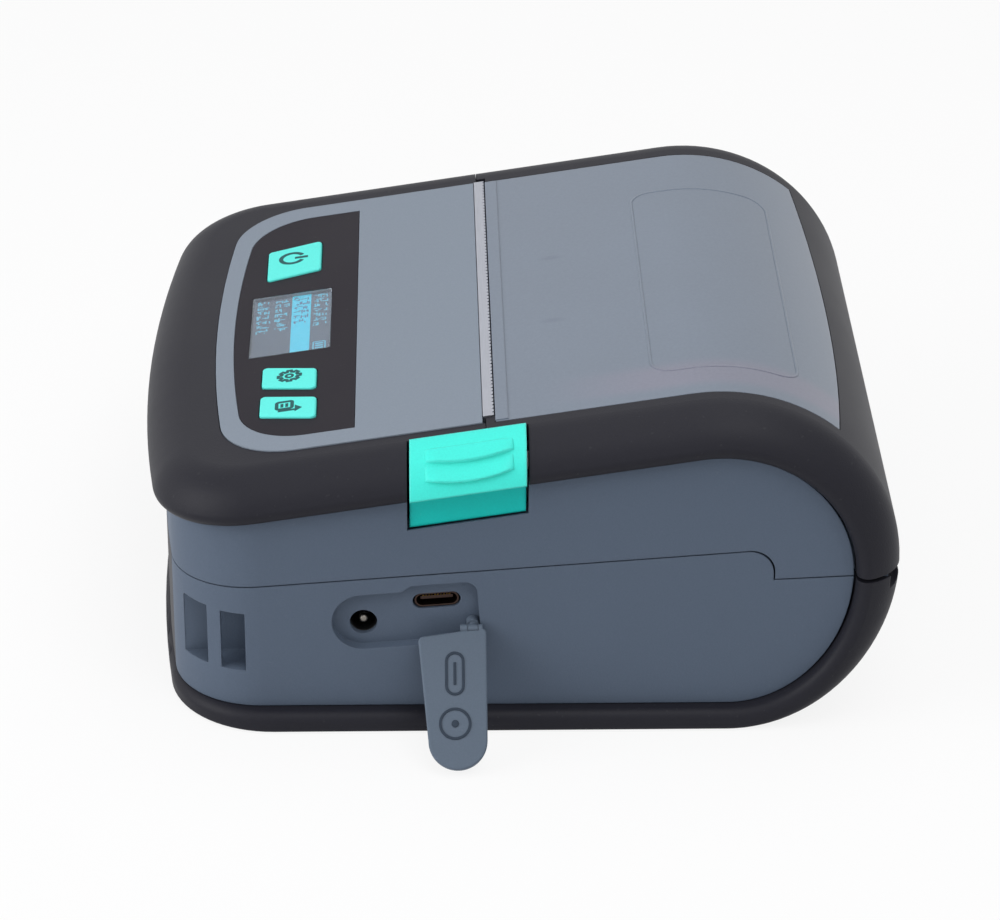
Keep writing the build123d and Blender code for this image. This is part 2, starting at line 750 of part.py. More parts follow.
with BuildPart() as power_button:
    add(lid_solid(key_face("power", 0, key_radius), key_rise, -key_flange[0]))
    fillet(power_button.faces().sort_by(Axis(lid_plane.origin, lid_plane.z_dir))[-1].edges(), 0.35)
    add(lid_solid(key_face("power", flange_lip, key_radius), -key_flange[0], -key_flange[1]))
    add(lid_rod(*key_middle("power"), 1.6, -key_flange[1], -key_stem))
save(power_button, "power_button")

with BuildPart() as menu_button:
    add(lid_solid(key_face("menu", 0, key_radius), key_rise, -key_flange[0]))
    fillet(menu_button.faces().sort_by(Axis(lid_plane.origin, lid_plane.z_dir))[-1].edges(), 0.35)
    add(lid_solid(key_face("menu", flange_lip, key_radius), -key_flange[0], -key_flange[1]))
    add(lid_rod(*key_middle("menu"), 1.6, -key_flange[1], -key_stem))
save(menu_button, "menu_button")

with BuildPart() as feed_button:
    add(lid_solid(key_face("feed", 0, key_radius), key_rise, -key_flange[0]))
    fillet(feed_button.faces().sort_by(Axis(lid_plane.origin, lid_plane.z_dir))[-1].edges(), 0.35)
    add(lid_solid(key_face("feed", flange_lip, key_radius), -key_flange[0], -key_flange[1]))
    add(lid_rod(*key_middle("feed"), 1.6, -key_flange[1], -key_stem))
save(feed_button, "feed_button")

# Board under the panel with its three switches
with BuildPart() as panel_board:
    add(lid_block((-52, 52), (17.5 - rear, 50.5 - rear), -board_depth[0], -board_depth[1], 3))
    add(lid_block((-8, 8), (41.5 - rear, 47.5 - rear), -board_depth[1], -board_depth[1] - 2.5))
    for x in (-post_x, post_x):
        for y in post_y:
            add(lid_rod(x, lid_y(y), 0.9, -board_depth[0], -board_depth[1]), mode=Mode.SUBTRACT)
save(panel_board, "panel_board")

with BuildPart() as button_switches:
    for key in keys:
        x, y = key_middle(key)
        add(rod(lid_plane.offset(-board_depth[0] + 0.02), x, y, 1.7, board_depth[0] - switch_top - 0.02))
        base = rect_at(lid_plane, (x - 3, x + 3), (y - 3, y + 3), 0.3)
        add(lid_solid(base, -switch_top - 0.8, 0.02 - board_depth[0]))
save(button_switches, "button_switches")

# Tear bar: a toothed steel strip along the front of the paper slot
tear_y = (-7.0, -4.8)
tear_pitch = 1.5
tear_tooth = 0.5
with BuildPart() as tear_bar:
    add(lid_block(tear_x, tear_y, 0.3, -0.5))
    add(lid_block((-tear_x[1], tear_x[1]), (tear_y[0], tear_y[0] + 0.6), -0.5, -beam_depth))
    count = int((tear_x[1] - tear_x[0]) / tear_pitch)
    notches = []
    for place in range(count):
        x = tear_x[0] + (place + 0.5) * tear_pitch
        y = lid_y(tear_y[1])
        notches.append([(x - 0.45, y + 0.1), (x, y - tear_tooth), (x + 0.45, y + 0.1)])
    with BuildSketch(lid_plane.offset(-1)) as teeth:
        for notch in notches:
            with BuildLine():
                Polyline(*notch, close=True)
            make_face()
    extrude(teeth.sketch, amount=2, mode=Mode.SUBTRACT)
save(tear_bar, "tear_bar")

with BuildPart() as hinge_pin:
    add(knuckle((-knuckle_end, knuckle_end), pin_r))
save(hinge_pin, "hinge_pin")

# Platen, its bearings and the gears that drive it on the left
gear_x = (-61.3, -59.1)
roller_half = 54.0
shaft_x = (gear_x[0], 57.4)
gear_module = 0.5
platen_teeth = 20
idler_teeth = 32
motor_teeth = 12
tooth_root = 0.30
tooth_tip = 0.10
platen_place = (platen_y, platen_z)
gear_line = radians(-107.46)
gear_reach = gear_module * (platen_teeth + idler_teeth) / 2
idler_place = (platen_y + gear_reach * cos(gear_line), platen_z + gear_reach * sin(gear_line))
motor_line = radians(-135.0)
motor_reach = gear_module * (idler_teeth + motor_teeth) / 2
motor_out = (motor_reach * cos(motor_line), motor_reach * sin(motor_line))
motor_place = (idler_place[0] + motor_out[0], idler_place[1] + motor_out[1])


def gear_points(place, module, teeth, turn):
    # A toothed wheel; turn is the direction of the middle of one tooth
    points = []
    for tooth in range(teeth):
        for part, out in ((-tooth_root, -1.25), (-tooth_tip, 0.9), (tooth_tip, 0.9), (tooth_root, -1.25)):
            angle = turn + (tooth + part) * 2 * pi / teeth
            r = module * (teeth / 2 + out)
            points.append((place[0] + r * cos(angle), place[1] + r * sin(angle)))
    return points


def mesh_turn(line, turn, teeth, next_teeth):
    # The direction of a tooth of the next wheel, so that it faces a gap of the first
    steps = (line - turn) / (2 * pi / teeth)
    ahead = (ceil(steps) - steps) * 2 * pi / next_teeth
    return line + pi - ahead + pi / next_teeth


idler_turn = mesh_turn(gear_line, pi / 2, platen_teeth, idler_teeth)
motor_turn = mesh_turn(motor_line, idler_turn, idler_teeth, motor_teeth)
gear_width = gear_x[1] - gear_x[0]

with BuildPart() as platen_roller:
    add(rod(yz(-roller_half), *platen_place, platen_r, 2 * roller_half))
    add(rod(yz(-roller_half), *platen_place, shaft_r, 2 * roller_half), mode=Mode.SUBTRACT)
save(platen_roller, "platen_roller")

with BuildPart() as platen_shaft:
    add(rod(yz(shaft_x[0]), *platen_place, shaft_r, shaft_x[1] - shaft_x[0]))
    chamfer(platen_shaft.edges(), 0.3)
    add(block(gear_x, (platen_y + 1.9, platen_y + 3), grown((platen_z, platen_z), 3)), mode=Mode.SUBTRACT)
save(platen_shaft, "platen_shaft")

with BuildPart() as platen_bearings:
    for sign in (-1, 1):
        inner = sorted((sign * (arm_x[0] - bush_flange - 0.05), sign * (arm_x[0] - 0.05)))
        body = sorted((sign * (arm_x[0] - 0.05), sign * arm_x[1]))
        add(rod(yz(inner[0]), *platen_place, bush_flange_r, inner[1] - inner[0]))
        add(rod(yz(body[0]), *platen_place, bush_r, body[1] - body[0]))
        add(rod(yz(inner[0] - 3), *platen_place, shaft_r + run_gap, 8), mode=Mode.SUBTRACT)
save(platen_bearings, "platen_bearings")

with BuildPart() as platen_gear:
    points = gear_points(platen_place, gear_module, platen_teeth, pi / 2)
    add(solid(outline(yz(gear_x[0]), points), gear_width))
    bore = rod(yz(gear_x[0]), *platen_place, shaft_r, gear_width)
    flat = block(gear_x, (platen_y + 1.9, platen_y + 3), grown((platen_z, platen_z), 3))
    add(bore - flat, mode=Mode.SUBTRACT)
save(platen_gear, "platen_gear")

idler_pin_r = 1.2
with BuildPart() as idler_gear:
    points = gear_points(idler_place, gear_module, idler_teeth, idler_turn)
    add(solid(outline(yz(gear_x[0]), points), gear_width))
    add(rod(yz(gear_x[0]), *idler_place, idler_pin_r + run_gap, gear_width), mode=Mode.SUBTRACT)
save(idler_gear, "idler_gear")

motor_shaft_r = 0.75
motor_r = 7.4
motor_x = (-56.1, -40.0)
boss_x = -57.7
boss_r = 2.6
with BuildPart() as motor_gear:
    points = gear_points(motor_place, gear_module, motor_teeth, motor_turn)
    add(solid(outline(yz(gear_x[0]), points), gear_width))
    add(rod(yz(gear_x[0]), *motor_place, motor_shaft_r, motor_x[0] + 1 - gear_x[0]))
save(motor_gear, "motor_gear")

with BuildPart() as stepper_motor:
    add(rod(yz(motor_x[0]), *motor_place, motor_r, motor_x[1] - motor_x[0]))
    chamfer(stepper_motor.edges(), 0.4)
    add(rod(yz(boss_x), *motor_place, boss_r, motor_x[0] - boss_x))
    plug_z = grown((motor_place[1], motor_place[1]), 2.5)
    add(block((-50, -44), (motor_place[0] - 10, motor_place[0]), plug_z))
    bore_depth = motor_x[0] + 1.2 - boss_x
    add(rod(yz(boss_x), *motor_place, motor_shaft_r + run_gap, bore_depth), mode=Mode.SUBTRACT)
save(stepper_motor, "stepper_motor")

# Print head: the ceramic edge, the bar that carries it and its springs
head_y = (-6.2, -4.65)
head_z = (platen_z - 6.5, platen_z + 4.0)
sink_y = (-10.2, -6.25)
sink_z = (platen_z - 10.2, platen_z + 3.0)
head_half = 53.0
back_y = (-16.2, -15.0)
spring_x = 25.0
spring_z = platen_z - 3.5
with BuildPart() as print_head:
    add(block((-head_half, head_half), head_y, head_z))
    add(block((2 - head_half, head_half - 2), (head_y[1], head_y[1] + 0.15), grown((platen_z, platen_z), 1)))
save(print_head, "print_head")

with BuildPart() as head_heatsink:
    add(block((-head_half, head_half), sink_y, sink_z))
    for place in range(17):
        x = (place - 8) * 6.0
        add(block((x - 1, x + 1), (sink_y[0], sink_y[0] + 1.6), grown(sink_z, 1)), mode=Mode.SUBTRACT)
    for x in (-spring_x, spring_x):
        add(block((x - 3.4, x + 3.4), (sink_y[0], sink_y[0] + 1.6), (spring_z - 3.4, spring_z + 3.4)))
save(head_heatsink, "head_heatsink")

# Print frame: a bent steel plate that holds head, hooks, gears and motor
ear_x = (57.8, 58.8)
ear_y = (-16.2, 6.8)
ear_top = platen_z + 4.0
ear_front_top = platen_z - 4.5
hook_place = (-5.0, platen_z - 12.7)
hook_pin_r = 1.5
with BuildPart() as print_frame:
    add(block((-ear_x[1], ear_x[1]), ear_y, (frame_base_z, frame_base_z + frame_plate)))
    add(block((-36.0, 55.5), back_y, (frame_base_z, platen_z + 0.5)))
    for sign in (-1, 1):
        ear = sorted((sign * ear_x[0], sign * ear_x[1]))
        points = [
            (ear_y[0], frame_base_z),
            (ear_y[1], frame_base_z),
            (ear_y[1], ear_top),
            (-6.0, ear_top),
            (-10.5, ear_front_top),
            (ear_y[0], ear_front_top),
        ]
        add(solid(outline(yz(ear[0]), points), ear[1] - ear[0]))
        slot = block(ear, (platen_y - 3.0, platen_y + 4.6), (platen_z, reach))
        add(slot, mode=Mode.SUBTRACT)
        add(rod(yz(ear[0]), *platen_place, 3.0, ear[1] - ear[0]), mode=Mode.SUBTRACT)
        add(rod(yz(ear[0]), *hook_place, hook_pin_r + run_gap, ear[1] - ear[0]), mode=Mode.SUBTRACT)
        bracket = sorted((sign * 20.0, sign * 28.0))
        add(block(bracket, (-9.4, -7.4), (frame_base_z, sink_z[0] - 0.1)))
    add(rod(yz(-ear_x[1]), *motor_place, boss_r + fit_gap, ear_x[1] - ear_x[0]), mode=Mode.SUBTRACT)
    motor_room = (motor_place[0] - motor_r - 0.5, motor_place[0] + motor_r + 0.5)
    add(block((-57.8, -38.0), motor_room, (frame_base_z, platen_z + 1)), mode=Mode.SUBTRACT)
    add(rod(yz(gear_x[0]), *idler_place, idler_pin_r, -ear_x[1] - gear_x[0]))
    add(rod(yz(gear_x[1] + 0.06), *idler_place, 2.2, -ear_x[1] - gear_x[1] - 0.06))
save(print_frame, "print_frame")

with BuildPart() as head_springs:
    for x in (-spring_x, spring_x):
        with BuildLine() as wire:
            base = (x, back_y[1] + 0.3, spring_z)
            Helix(pitch=1.05, height=4.2, radius=2.2, center=base, direction=(0, 1, 0))
        with BuildSketch(wire.line ^ 0):
            Circle(0.25)
        sweep(path=wire.line)
save(head_springs, "head_springs")

# Latch hooks on a shaft through both ears, with tails under the latch finger
hook_x = (56.3, 57.5)
with BuildPart() as latch_hooks:
    add(rod(yz(-ear_x[1] + 0.1), *hook_place, hook_pin_r, 2 * ear_x[1] - 0.2))
    hook_shape = [
        (-7.6, -13.9),
        (-2.4, -13.9),
        (-1.9, -10.0),
        (-1.75, 1.1),
        (-0.95, 2.9),
        (-0.95, 3.7),
        (-2.6, 4.4),
        (-4.4, 3.1),
        (-4.8, -6.5),
        (-6.6, -8.9),
        (-17.4, -2.6),
        (-21.4, -3.0),
        (-21.4, -4.6),
        (-17.4, -4.6),
    ]
    hook_points = [(y, platen_z + rise) for y, rise in hook_shape]
    for sign in (-1, 1):
        plate = sorted((sign * hook_x[0], sign * hook_x[1]))
        add(solid(outline(yz(plate[0]), hook_points), plate[1] - plate[0]))
save(latch_hooks, "latch_hooks")

latch_spring_x = 62.9
latch_spring_y = -19.5
latch_spring_z = (top_z(latch_spring_y) - 16.24, top_z(latch_spring_y) - 8.79)
with BuildPart() as latch_spring:
    with BuildLine() as wire:
        base = (latch_spring_x, latch_spring_y, latch_spring_z[0])
        Helix(pitch=1.24, height=latch_spring_z[1] - latch_spring_z[0], radius=0.9, center=base)
    with BuildSketch(wire.line ^ 0):
        Circle(0.2)
    sweep(path=wire.line)
save(latch_spring, "latch_spring")

# Roll bay: a drop-in bin, two sliding roll guides and the pinion that centres them
guide_module = 0.8
pinion_teeth = 12
guide_travel = 30.0
guide_x = (52.0, 54.5)
rack_z = (5.9, 8.6)
rack_back = 3.2
roll_place = (pinion_y, arc_height - 1.5)
roll_r = 21.0
hub_r = 9.0
hub_length = 5.0
guide_foot_z = 11.6
foot_near = guide_module * (pinion_teeth / 2 + 1.25)
foot_far = foot_near + rack_back
with BuildPart() as roll_bin:
    bay = block((-bin_half, bin_half), (bulkhead_y[0], reach), (0, bin_top))
    add((side_solid(bin_inset[0], bin_foot[0]) - side_solid(bin_inset[1], bin_foot[1])) & bay)
    add(block((-bin_half, bin_half), bulkhead_y, (bin_foot[0], bulkhead_top)))
    for x, y in post_places():
        add(rod(xy(0), x, y, post_r + loose_gap, reach), mode=Mode.SUBTRACT)
    for web in post_webs((0, reach)):
        add(offset(web, loose_gap, mode=Mode.PRIVATE), mode=Mode.SUBTRACT)
    for sign in (-1, 1):
        near = sorted((sign * (guide_x[0] - guide_travel - 0.6), sign * (guide_x[1] + 0.6)))
        lane = sorted((pinion_y + sign * (foot_near - 0.3), pinion_y + sign * (foot_far + 0.3)))
        add(block(near, lane, (rack_z[0], guide_foot_z + 2)), mode=Mode.SUBTRACT)
save(roll_bin, "roll_bin")


def rack_points():
    # A toothed bar seen from above, for the right guide, its teeth towards the pinion
    pitch = pi * guide_module
    back = pinion_y + foot_far
    root = pinion_y + foot_near
    tip = pinion_y + guide_module * (pinion_teeth / 2 - 0.9)
    points = [(-4.5, back), (-4.5, root)]
    for tooth in range(-1, int((guide_travel + 4) / pitch)):
        middle = (tooth + 0.5) * pitch
        points.append((middle - tooth_root * pitch, root))
        points.append((middle - tooth_tip * pitch, tip))
        points.append((middle + tooth_tip * pitch, tip))
        points.append((middle + tooth_root * pitch, root))
    return points + [(guide_x[1], root), (guide_x[1], back)]


def guide_solid():
    # The right roll guide: a disc to hold the roll, a hub for its core and the rack below
    disc = rod(yz(guide_x[0]), *roll_place, roll_r, guide_x[1] - guide_x[0])
    hub = rod(yz(guide_x[0] - hub_length), *roll_place, hub_r, hub_length)
    leg = block(guide_x, (pinion_y - foot_far, pinion_y + foot_far), (guide_foot_z, 22.0))
    foot = block(guide_x, (pinion_y + foot_near, pinion_y + foot_far), (rack_z[0], guide_foot_z + 1))
    rack = solid(outline(xy(rack_z[0]), rack_points()), rack_z[1] - rack_z[0])
    return disc + hub + leg + foot + rack - rod(yz(0), *roll_place, hub_r - 2.0, reach)


with BuildPart() as roll_guide_right:
    add(guide_solid())
save(roll_guide_right, "roll_guide_right")

with BuildPart() as roll_guide_left:
    add(guide_solid().rotate(Axis((0, pinion_y, 0), (0, 0, 1)), 180))
save(roll_guide_left, "roll_guide_left")

with BuildPart() as guide_pinion:
    wheel = gear_points((0, pinion_y), guide_module, pinion_teeth, pi / 2)
    add(solid(outline(xy(rack_z[0]), wheel), rack_z[1] - rack_z[0]))
    add(rod(xy(rack_z[0]), 0, pinion_y, pinion_pin_r + run_gap, rack_z[1] - rack_z[0]), mode=Mode.SUBTRACT)
save(guide_pinion, "guide_pinion")

with BuildPart() as paper_sensor:
    add(block((-6, 6), (-1.5, 3.5), (frame_base_z + frame_plate, frame_base_z + frame_plate + 3.2)))
    add(block((-4, 4), (2.0, 3.5), (frame_base_z + frame_plate + 3.2, frame_base_z + frame_plate + 7)))
save(paper_sensor, "paper_sensor")

# Electronics: main board with its parts and the two connectors at the right wall
with BuildPart() as main_board:
    add(deck_block(board_x, board_u, board_v))
    jack_room = grown((-jack_half, jack_half), 0.2)
    add(deck_block((jack_x[0] - 0.2, reach), jack_room, grown(board_v, 1)), mode=Mode.SUBTRACT)
save(main_board, "main_board")

chips = (
    ((20.0, 30.0), (-8.0, 2.0), 1.2),
    ((20.0, 27.0), (8.0, 15.0), 1.0),
    ((34.0, 40.0), (-14.0, -9.0), 3.0),
    ((34.0, 44.0), (6.0, 16.0), 1.4),
    ((16.0, 20.0), (-16.0, -4.0), 2.5),
    ((36.0, 46.0), (-4.0, 3.0), 4.5),
)
with BuildPart() as board_parts:
    for x_range, u_range, tall in chips:
        add(deck_block(x_range, u_range, (board_v[1] + 0.02, board_v[1] + tall)))
save(board_parts, "board_parts")

with BuildPart() as dc_jack:
    add(deck_block(jack_x, (-jack_half, jack_half), jack_v))
    add(rod(port_plane.offset(jack_x[1] - 9.5 - cheek_x), 0, 0, jack_hole_r, 10), mode=Mode.SUBTRACT)
    add(rod(port_plane.offset(jack_x[1] - 9.6 - cheek_x), 0, 0, 0.95, 8.6))
save(dc_jack, "dc_jack")

with BuildPart() as usb_socket:
    add(port_slot(usb_shell, (54.9, 63.9)))
    add(port_slot((usb_shell[0] - 0.7, usb_shell[1] - 0.7), (55.9, 64.0)), mode=Mode.SUBTRACT)
    tongue_u = (usb_place[0] - 3.3, usb_place[0] + 3.3)
    tongue_v = (usb_place[1] - 0.35, usb_place[1] + 0.35)
    add(solid(rect_at(port_plane.offset(55.8 - cheek_x), tongue_u, tongue_v), 7.2))
save(usb_socket, "usb_socket")

# Battery, its contacts and its door
with BuildPart() as battery_pack:
    add(block(battery_x, battery_y, battery_z))
    fillet(battery_pack.edges().filter_by(Axis.Y), 3.0)
save(battery_pack, "battery_pack")

with BuildPart() as battery_contacts:
    for place in range(4):
        x = -18.0 + place * 3.0
        add(block((x, x + 1.2), (battery_y[1] + 0.05, battery_y[1] + bay_gap - 0.05), (8.0, 12.0)))
save(battery_contacts, "battery_contacts")

with BuildPart() as battery_door:
    door_x = grown(battery_x, bay_gap + door_rim - 0.2)
    door_y = grown(battery_y, bay_gap + door_rim - 0.2)
    add(block(door_x, door_y, (0.2, skin), 2.8))
    for place in range(6):
        y = battery_y[1] - 8.0 + place * 2.0
        add(block((-25.0, -5.0), (y - 0.5, y + 0.5), (0, 0.7)), mode=Mode.SUBTRACT)
save(battery_door, "battery_door")

# Port flap, hanging open, and the peg it swivels on; the flap bends about a pin through the peg's eye
flap_hinge = (67.4, peg_z)
flap_lean = 41.0
flap_thick = 1.6
flap_y = (-20.3, -6.4)
flap_taper = 2.0
flap_slant = 1.9
flap_length = 28.9
eye_y = (peg_y - 1.0, peg_y + 1.0)
eye_r = flap_thick / 2
eye_pin_r = 0.45
neck_r = 0.7
flap_plane = Plane(
    origin=(flap_hinge[0], 0, flap_hinge[1]),
    x_dir=(0, 1, 0),
    z_dir=(cos(radians(flap_lean)), 0, sin(radians(flap_lean))),
)


def bend_rod(y_range, radius):
    # A rod along the line that the flap bends about
    start = Plane(origin=(0, y_range[0], 0), x_dir=(1, 0, 0), z_dir=(0, 1, 0))
    return rod(start, flap_hinge[0], -flap_hinge[1], radius, y_range[1] - y_range[0])


with BuildPart() as port_flap:
    with BuildSketch(flap_plane) as flap_face:
        with BuildLine():
            tip_r = (flap_y[1] - flap_y[0] - flap_taper) / 2
            low = tip_r - flap_length
            top_left = (flap_y[0], -flap_slant)
            Polyline((flap_y[1] - 2 * tip_r, low), top_left, (flap_y[1], 0), (flap_y[1], low))
            CenterArc((flap_y[1] - tip_r, low), tip_r, 180, 180)
        make_face()
        fillet(flap_face.vertices().sort_by(Axis.Y)[-2:], 1.0)
    extrude(amount=flap_thick / 2, both=True)
    fillet(port_flap.faces().sort_by(Axis(flap_plane.origin, flap_plane.z_dir))[-1].edges(), 0.4)
    add(bend_rod((eye_y[0] - 1.6, flap_y[1] - 0.8), eye_r))
    add(bend_rod(grown(eye_y, 0.1), eye_r + fit_gap), mode=Mode.SUBTRACT)
    add(bend_rod(grown(eye_y, 0.3), eye_pin_r))
save(port_flap, "port_flap")

with BuildPart() as flap_tether:
    add(rod(yz(recess_floor - 1.7), peg_y, peg_z, peg_r, 2.0))
    add(rod(yz(recess_floor + 0.1), peg_y, peg_z, peg_head_r, flap_hinge[0] - 1.2 - recess_floor - 0.1))
    add(rod(yz(recess_floor + 1), peg_y, peg_z, neck_r, flap_hinge[0] - recess_floor - 1))
    add(bend_rod(eye_y, eye_r))
    add(bend_rod(eye_y, eye_pin_r + run_gap), mode=Mode.SUBTRACT)
save(flap_tether, "flap_tether")

with BuildPart() as case_screws:
    for x, y in post_places():
        add(rod(xy(0.15), x, y, 2 * screw_r, 1.2))
        add(rod(xy(1.3), x, y, screw_r, post_top - 4))
    for x, y in post_places():
        add(block((x - 1.4, x + 1.4), (y - 0.3, y + 0.3), (0, 0.6)), mode=Mode.SUBTRACT)
save(case_screws, "case_screws")
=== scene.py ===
import math
import random

import bpy
from mathutils import Matrix, Vector


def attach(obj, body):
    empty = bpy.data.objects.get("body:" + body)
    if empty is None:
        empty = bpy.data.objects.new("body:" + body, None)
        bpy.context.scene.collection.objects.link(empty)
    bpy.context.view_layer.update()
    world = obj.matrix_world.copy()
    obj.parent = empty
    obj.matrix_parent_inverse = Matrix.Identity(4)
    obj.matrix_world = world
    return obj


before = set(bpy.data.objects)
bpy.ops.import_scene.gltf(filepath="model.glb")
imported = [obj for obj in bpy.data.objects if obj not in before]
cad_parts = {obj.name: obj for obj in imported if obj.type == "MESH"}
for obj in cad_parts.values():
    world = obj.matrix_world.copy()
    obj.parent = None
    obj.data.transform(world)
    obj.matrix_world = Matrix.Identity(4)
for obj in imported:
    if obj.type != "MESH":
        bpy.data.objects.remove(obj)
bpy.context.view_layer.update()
mm = 0.001

# where things are on the printer, in millimetres, as in the CAD
shape = {
    "slope": math.radians(8.9),
    "topAtMiddle": 65.842,      # height of the sloping top at y = 0
    "arcY": 40.3,               # where the top turns down to the rear
    "arcZ": 34.5,
    "arcR": 37.2,
    "flapHinge": (67.4, 23.3),
    "flapLean": math.radians(41.0),
    "flapThick": 1.6,
    "portY": -31.3,
    "portZ": 23.1,
    "portTurn": math.radians(4.36),
}


def topHeight(y):
    return shape["topAtMiddle"] + y * math.tan(shape["slope"])


def lidFrame(x, y, lift):
    # a frame on the sloping top: its Y runs up the slope and its Z stands off the surface
    s, c = math.sin(shape["slope"]), math.cos(shape["slope"])
    rows = Matrix(((1, 0, 0), (0, c, -s), (0, s, c))).to_4x4()
    place = Vector((x, y, topHeight(y))) + rows.to_3x3() @ Vector((0, 0, lift))
    return Matrix.Translation(place * mm) @ rows


def flapFrame():
    # a frame on the open flap's outer face: X along +Y of the printer, Y up the flap
    a = shape["flapLean"]
    right = Vector((0, 1, 0))
    up = Vector((-math.sin(a), 0, math.cos(a)))
    out = Vector((math.cos(a), 0, math.sin(a)))
    rows = Matrix((right, up, out)).transposed().to_4x4()
    x, z = shape["flapHinge"]
    place = Vector((x, 0, z)) + out * (shape["flapThick"] / 2)
    return Matrix.Translation(place * mm) @ rows


# camera: the photograph's own view
cameraView = {
    "place": (0.7263, -0.0208, 0.4252),
    "right": (0.02253807, 0.99972999, 0.00565619),
    "up": (-0.48251502, 0.00592249, 0.87586767),
    "forward": (-0.87559768, 0.02246956, -0.48251821),
    "lens": 137.2,
    "sensor": 36.0,
    "clip": (0.01, 20.0),
}


def makeCamera():
    data = bpy.data.cameras.new("photoCamera")
    data.lens = cameraView["lens"]
    data.sensor_width = cameraView["sensor"]
    data.clip_start, data.clip_end = cameraView["clip"]
    camera = bpy.data.objects.new("photoCamera", data)
    back = -Vector(cameraView["forward"])
    axes = Matrix((cameraView["right"], cameraView["up"], back)).transposed()
    camera.matrix_world = Matrix.Translation(cameraView["place"]) @ axes.to_4x4()
    bpy.context.scene.collection.objects.link(camera)
    bpy.context.scene.camera = camera


# studio: soft lamps, pale floor, white behind everything
studio = {
    "lamps": {
        "overhead": {"place": (-0.10, 0.15, 0.95), "aim": (0, 0, 0.03), "size": 0.8, "watts": 2.6},
        "highRight": {"place": (0.50, 0.25, 0.90), "aim": (0, 0, 0.03), "size": 0.6, "watts": 3.2},
        "frontSoft": {"place": (0.30, -0.85, 0.40), "aim": (0, 0, 0.03), "size": 0.7, "watts": 5.6},
    },
    "world": 0.34,      # strength of the plain light from all round
    "floorColor": (0.88, 0.88, 0.89, 1),
    "floorGlow": 0.87,      # how much of the floor the camera sees as plain white
    "floorHalf": 3.0,
    "floorDrop": 0.0002,    # the floor lies this far below the printer
}


def makeLamp(name, settings):
    data = bpy.data.lights.new(name, "AREA")
    data.shape = "SQUARE"
    data.size = settings["size"]
    data.energy = settings["watts"]
    lamp = bpy.data.objects.new(name, data)
    place, aim = Vector(settings["place"]), Vector(settings["aim"])
    lamp.rotation_mode = "QUATERNION"
    lamp.rotation_quaternion = (aim - place).to_track_quat("-Z", "Y")
    lamp.location = place
    bpy.context.scene.collection.objects.link(lamp)


def seenRay(nodes, links):
    # 1 where the camera sees a surface or background directly, in a mirror or through glass
    path = nodes.new("ShaderNodeLightPath")
    first = nodes.new("ShaderNodeMath")
    second = nodes.new("ShaderNodeMath")
    first.operation = second.operation = "MAXIMUM"
    links.new(path.outputs["Is Camera Ray"], first.inputs[0])
    links.new(path.outputs["Is Glossy Ray"], first.inputs[1])
    links.new(first.outputs[0], second.inputs[0])
    links.new(path.outputs["Is Transmission Ray"], second.inputs[1])
    return second.outputs[0]


def makeStudio():
    # white behind the printer, an even light all round and three soft lamps
    scene = bpy.context.scene
    scene.view_settings.view_transform = "Standard"
    world = bpy.data.worlds.new("studioWorld")
    scene.world = world
    world.use_nodes = True
    nodes, links = world.node_tree.nodes, world.node_tree.links
    nodes.clear()
    out = nodes.new("ShaderNodeOutputWorld")
    mix = nodes.new("ShaderNodeMixShader")
    light = nodes.new("ShaderNodeBackground")
    seen = nodes.new("ShaderNodeBackground")
    light.inputs["Color"].default_value = (1, 1, 1, 1)
    light.inputs["Strength"].default_value = studio["world"]
    seen.inputs["Color"].default_value = (1, 1, 1, 1)
    seen.inputs["Strength"].default_value = 1.0
    links.new(seenRay(nodes, links), mix.inputs["Fac"])
    links.new(light.outputs[0], mix.inputs[1])
    links.new(seen.outputs[0], mix.inputs[2])
    links.new(mix.outputs[0], out.inputs["Surface"])
    for name, settings in studio["lamps"].items():
        makeLamp(name, settings)


def makeFloor():
    # matte floor that the camera sees nearly white, and that keeps the printer's shadow
    mesh = bpy.data.meshes.new("floor")
    size = studio["floorHalf"]
    corners = [(-size, -size), (size, -size), (size, size), (-size, size)]
    mesh.from_pydata([(x, y, -studio["floorDrop"]) for x, y in corners], [], [(0, 1, 2, 3)])
    floor = bpy.data.objects.new("floor", mesh)
    bpy.context.scene.collection.objects.link(floor)
    material = bpy.data.materials.new("paleFloor")
    material.use_nodes = True
    nodes, links = material.node_tree.nodes, material.node_tree.links
    nodes.clear()
    out = nodes.new("ShaderNodeOutputMaterial")
    mix = nodes.new("ShaderNodeMixShader")
    matte = nodes.new("ShaderNodeBsdfDiffuse")
    glow = nodes.new("ShaderNodeEmission")
    matte.inputs["Color"].default_value = studio["floorColor"]
    glow.inputs["Strength"].default_value = 1.0
    share = nodes.new("ShaderNodeMath")
    share.operation = "MULTIPLY"
    share.inputs[1].default_value = studio["floorGlow"]
    links.new(seenRay(nodes, links), share.inputs[0])
    links.new(share.outputs[0], mix.inputs["Fac"])
    links.new(matte.outputs[0], mix.inputs[1])
    links.new(glow.outputs[0], mix.inputs[2])
    links.new(mix.outputs[0], out.inputs["Surface"])
    mesh.materials.append(material)


makeCamera()
makeStudio()
makeFloor()
print("camera, lamps and floor are in place")


# shared effects, as node groups
def newGroup(name, inputs, outputs):
    group = bpy.data.node_groups.new(name, "ShaderNodeTree")
    for label, kind, value in inputs:
        socket = group.interface.new_socket(label, in_out="INPUT", socket_type=kind)
        if value is not None:
            socket.default_value = value
    for label, kind in outputs:
        group.interface.new_socket(label, in_out="OUTPUT", socket_type=kind)
    return group, group.nodes.new("NodeGroupInput"), group.nodes.new("NodeGroupOutput")


def mathNode(tree, operation, a, b=None, clamp=False):
    node = tree.nodes.new("ShaderNodeMath")
    node.operation = operation
    node.use_clamp = clamp
    for socket, value in zip(node.inputs, (a, b)):
        if value is None:
            continue
        if isinstance(value, (int, float)):
            socket.default_value = value
        else:
            tree.links.new(value, socket)
    return node.outputs[0]


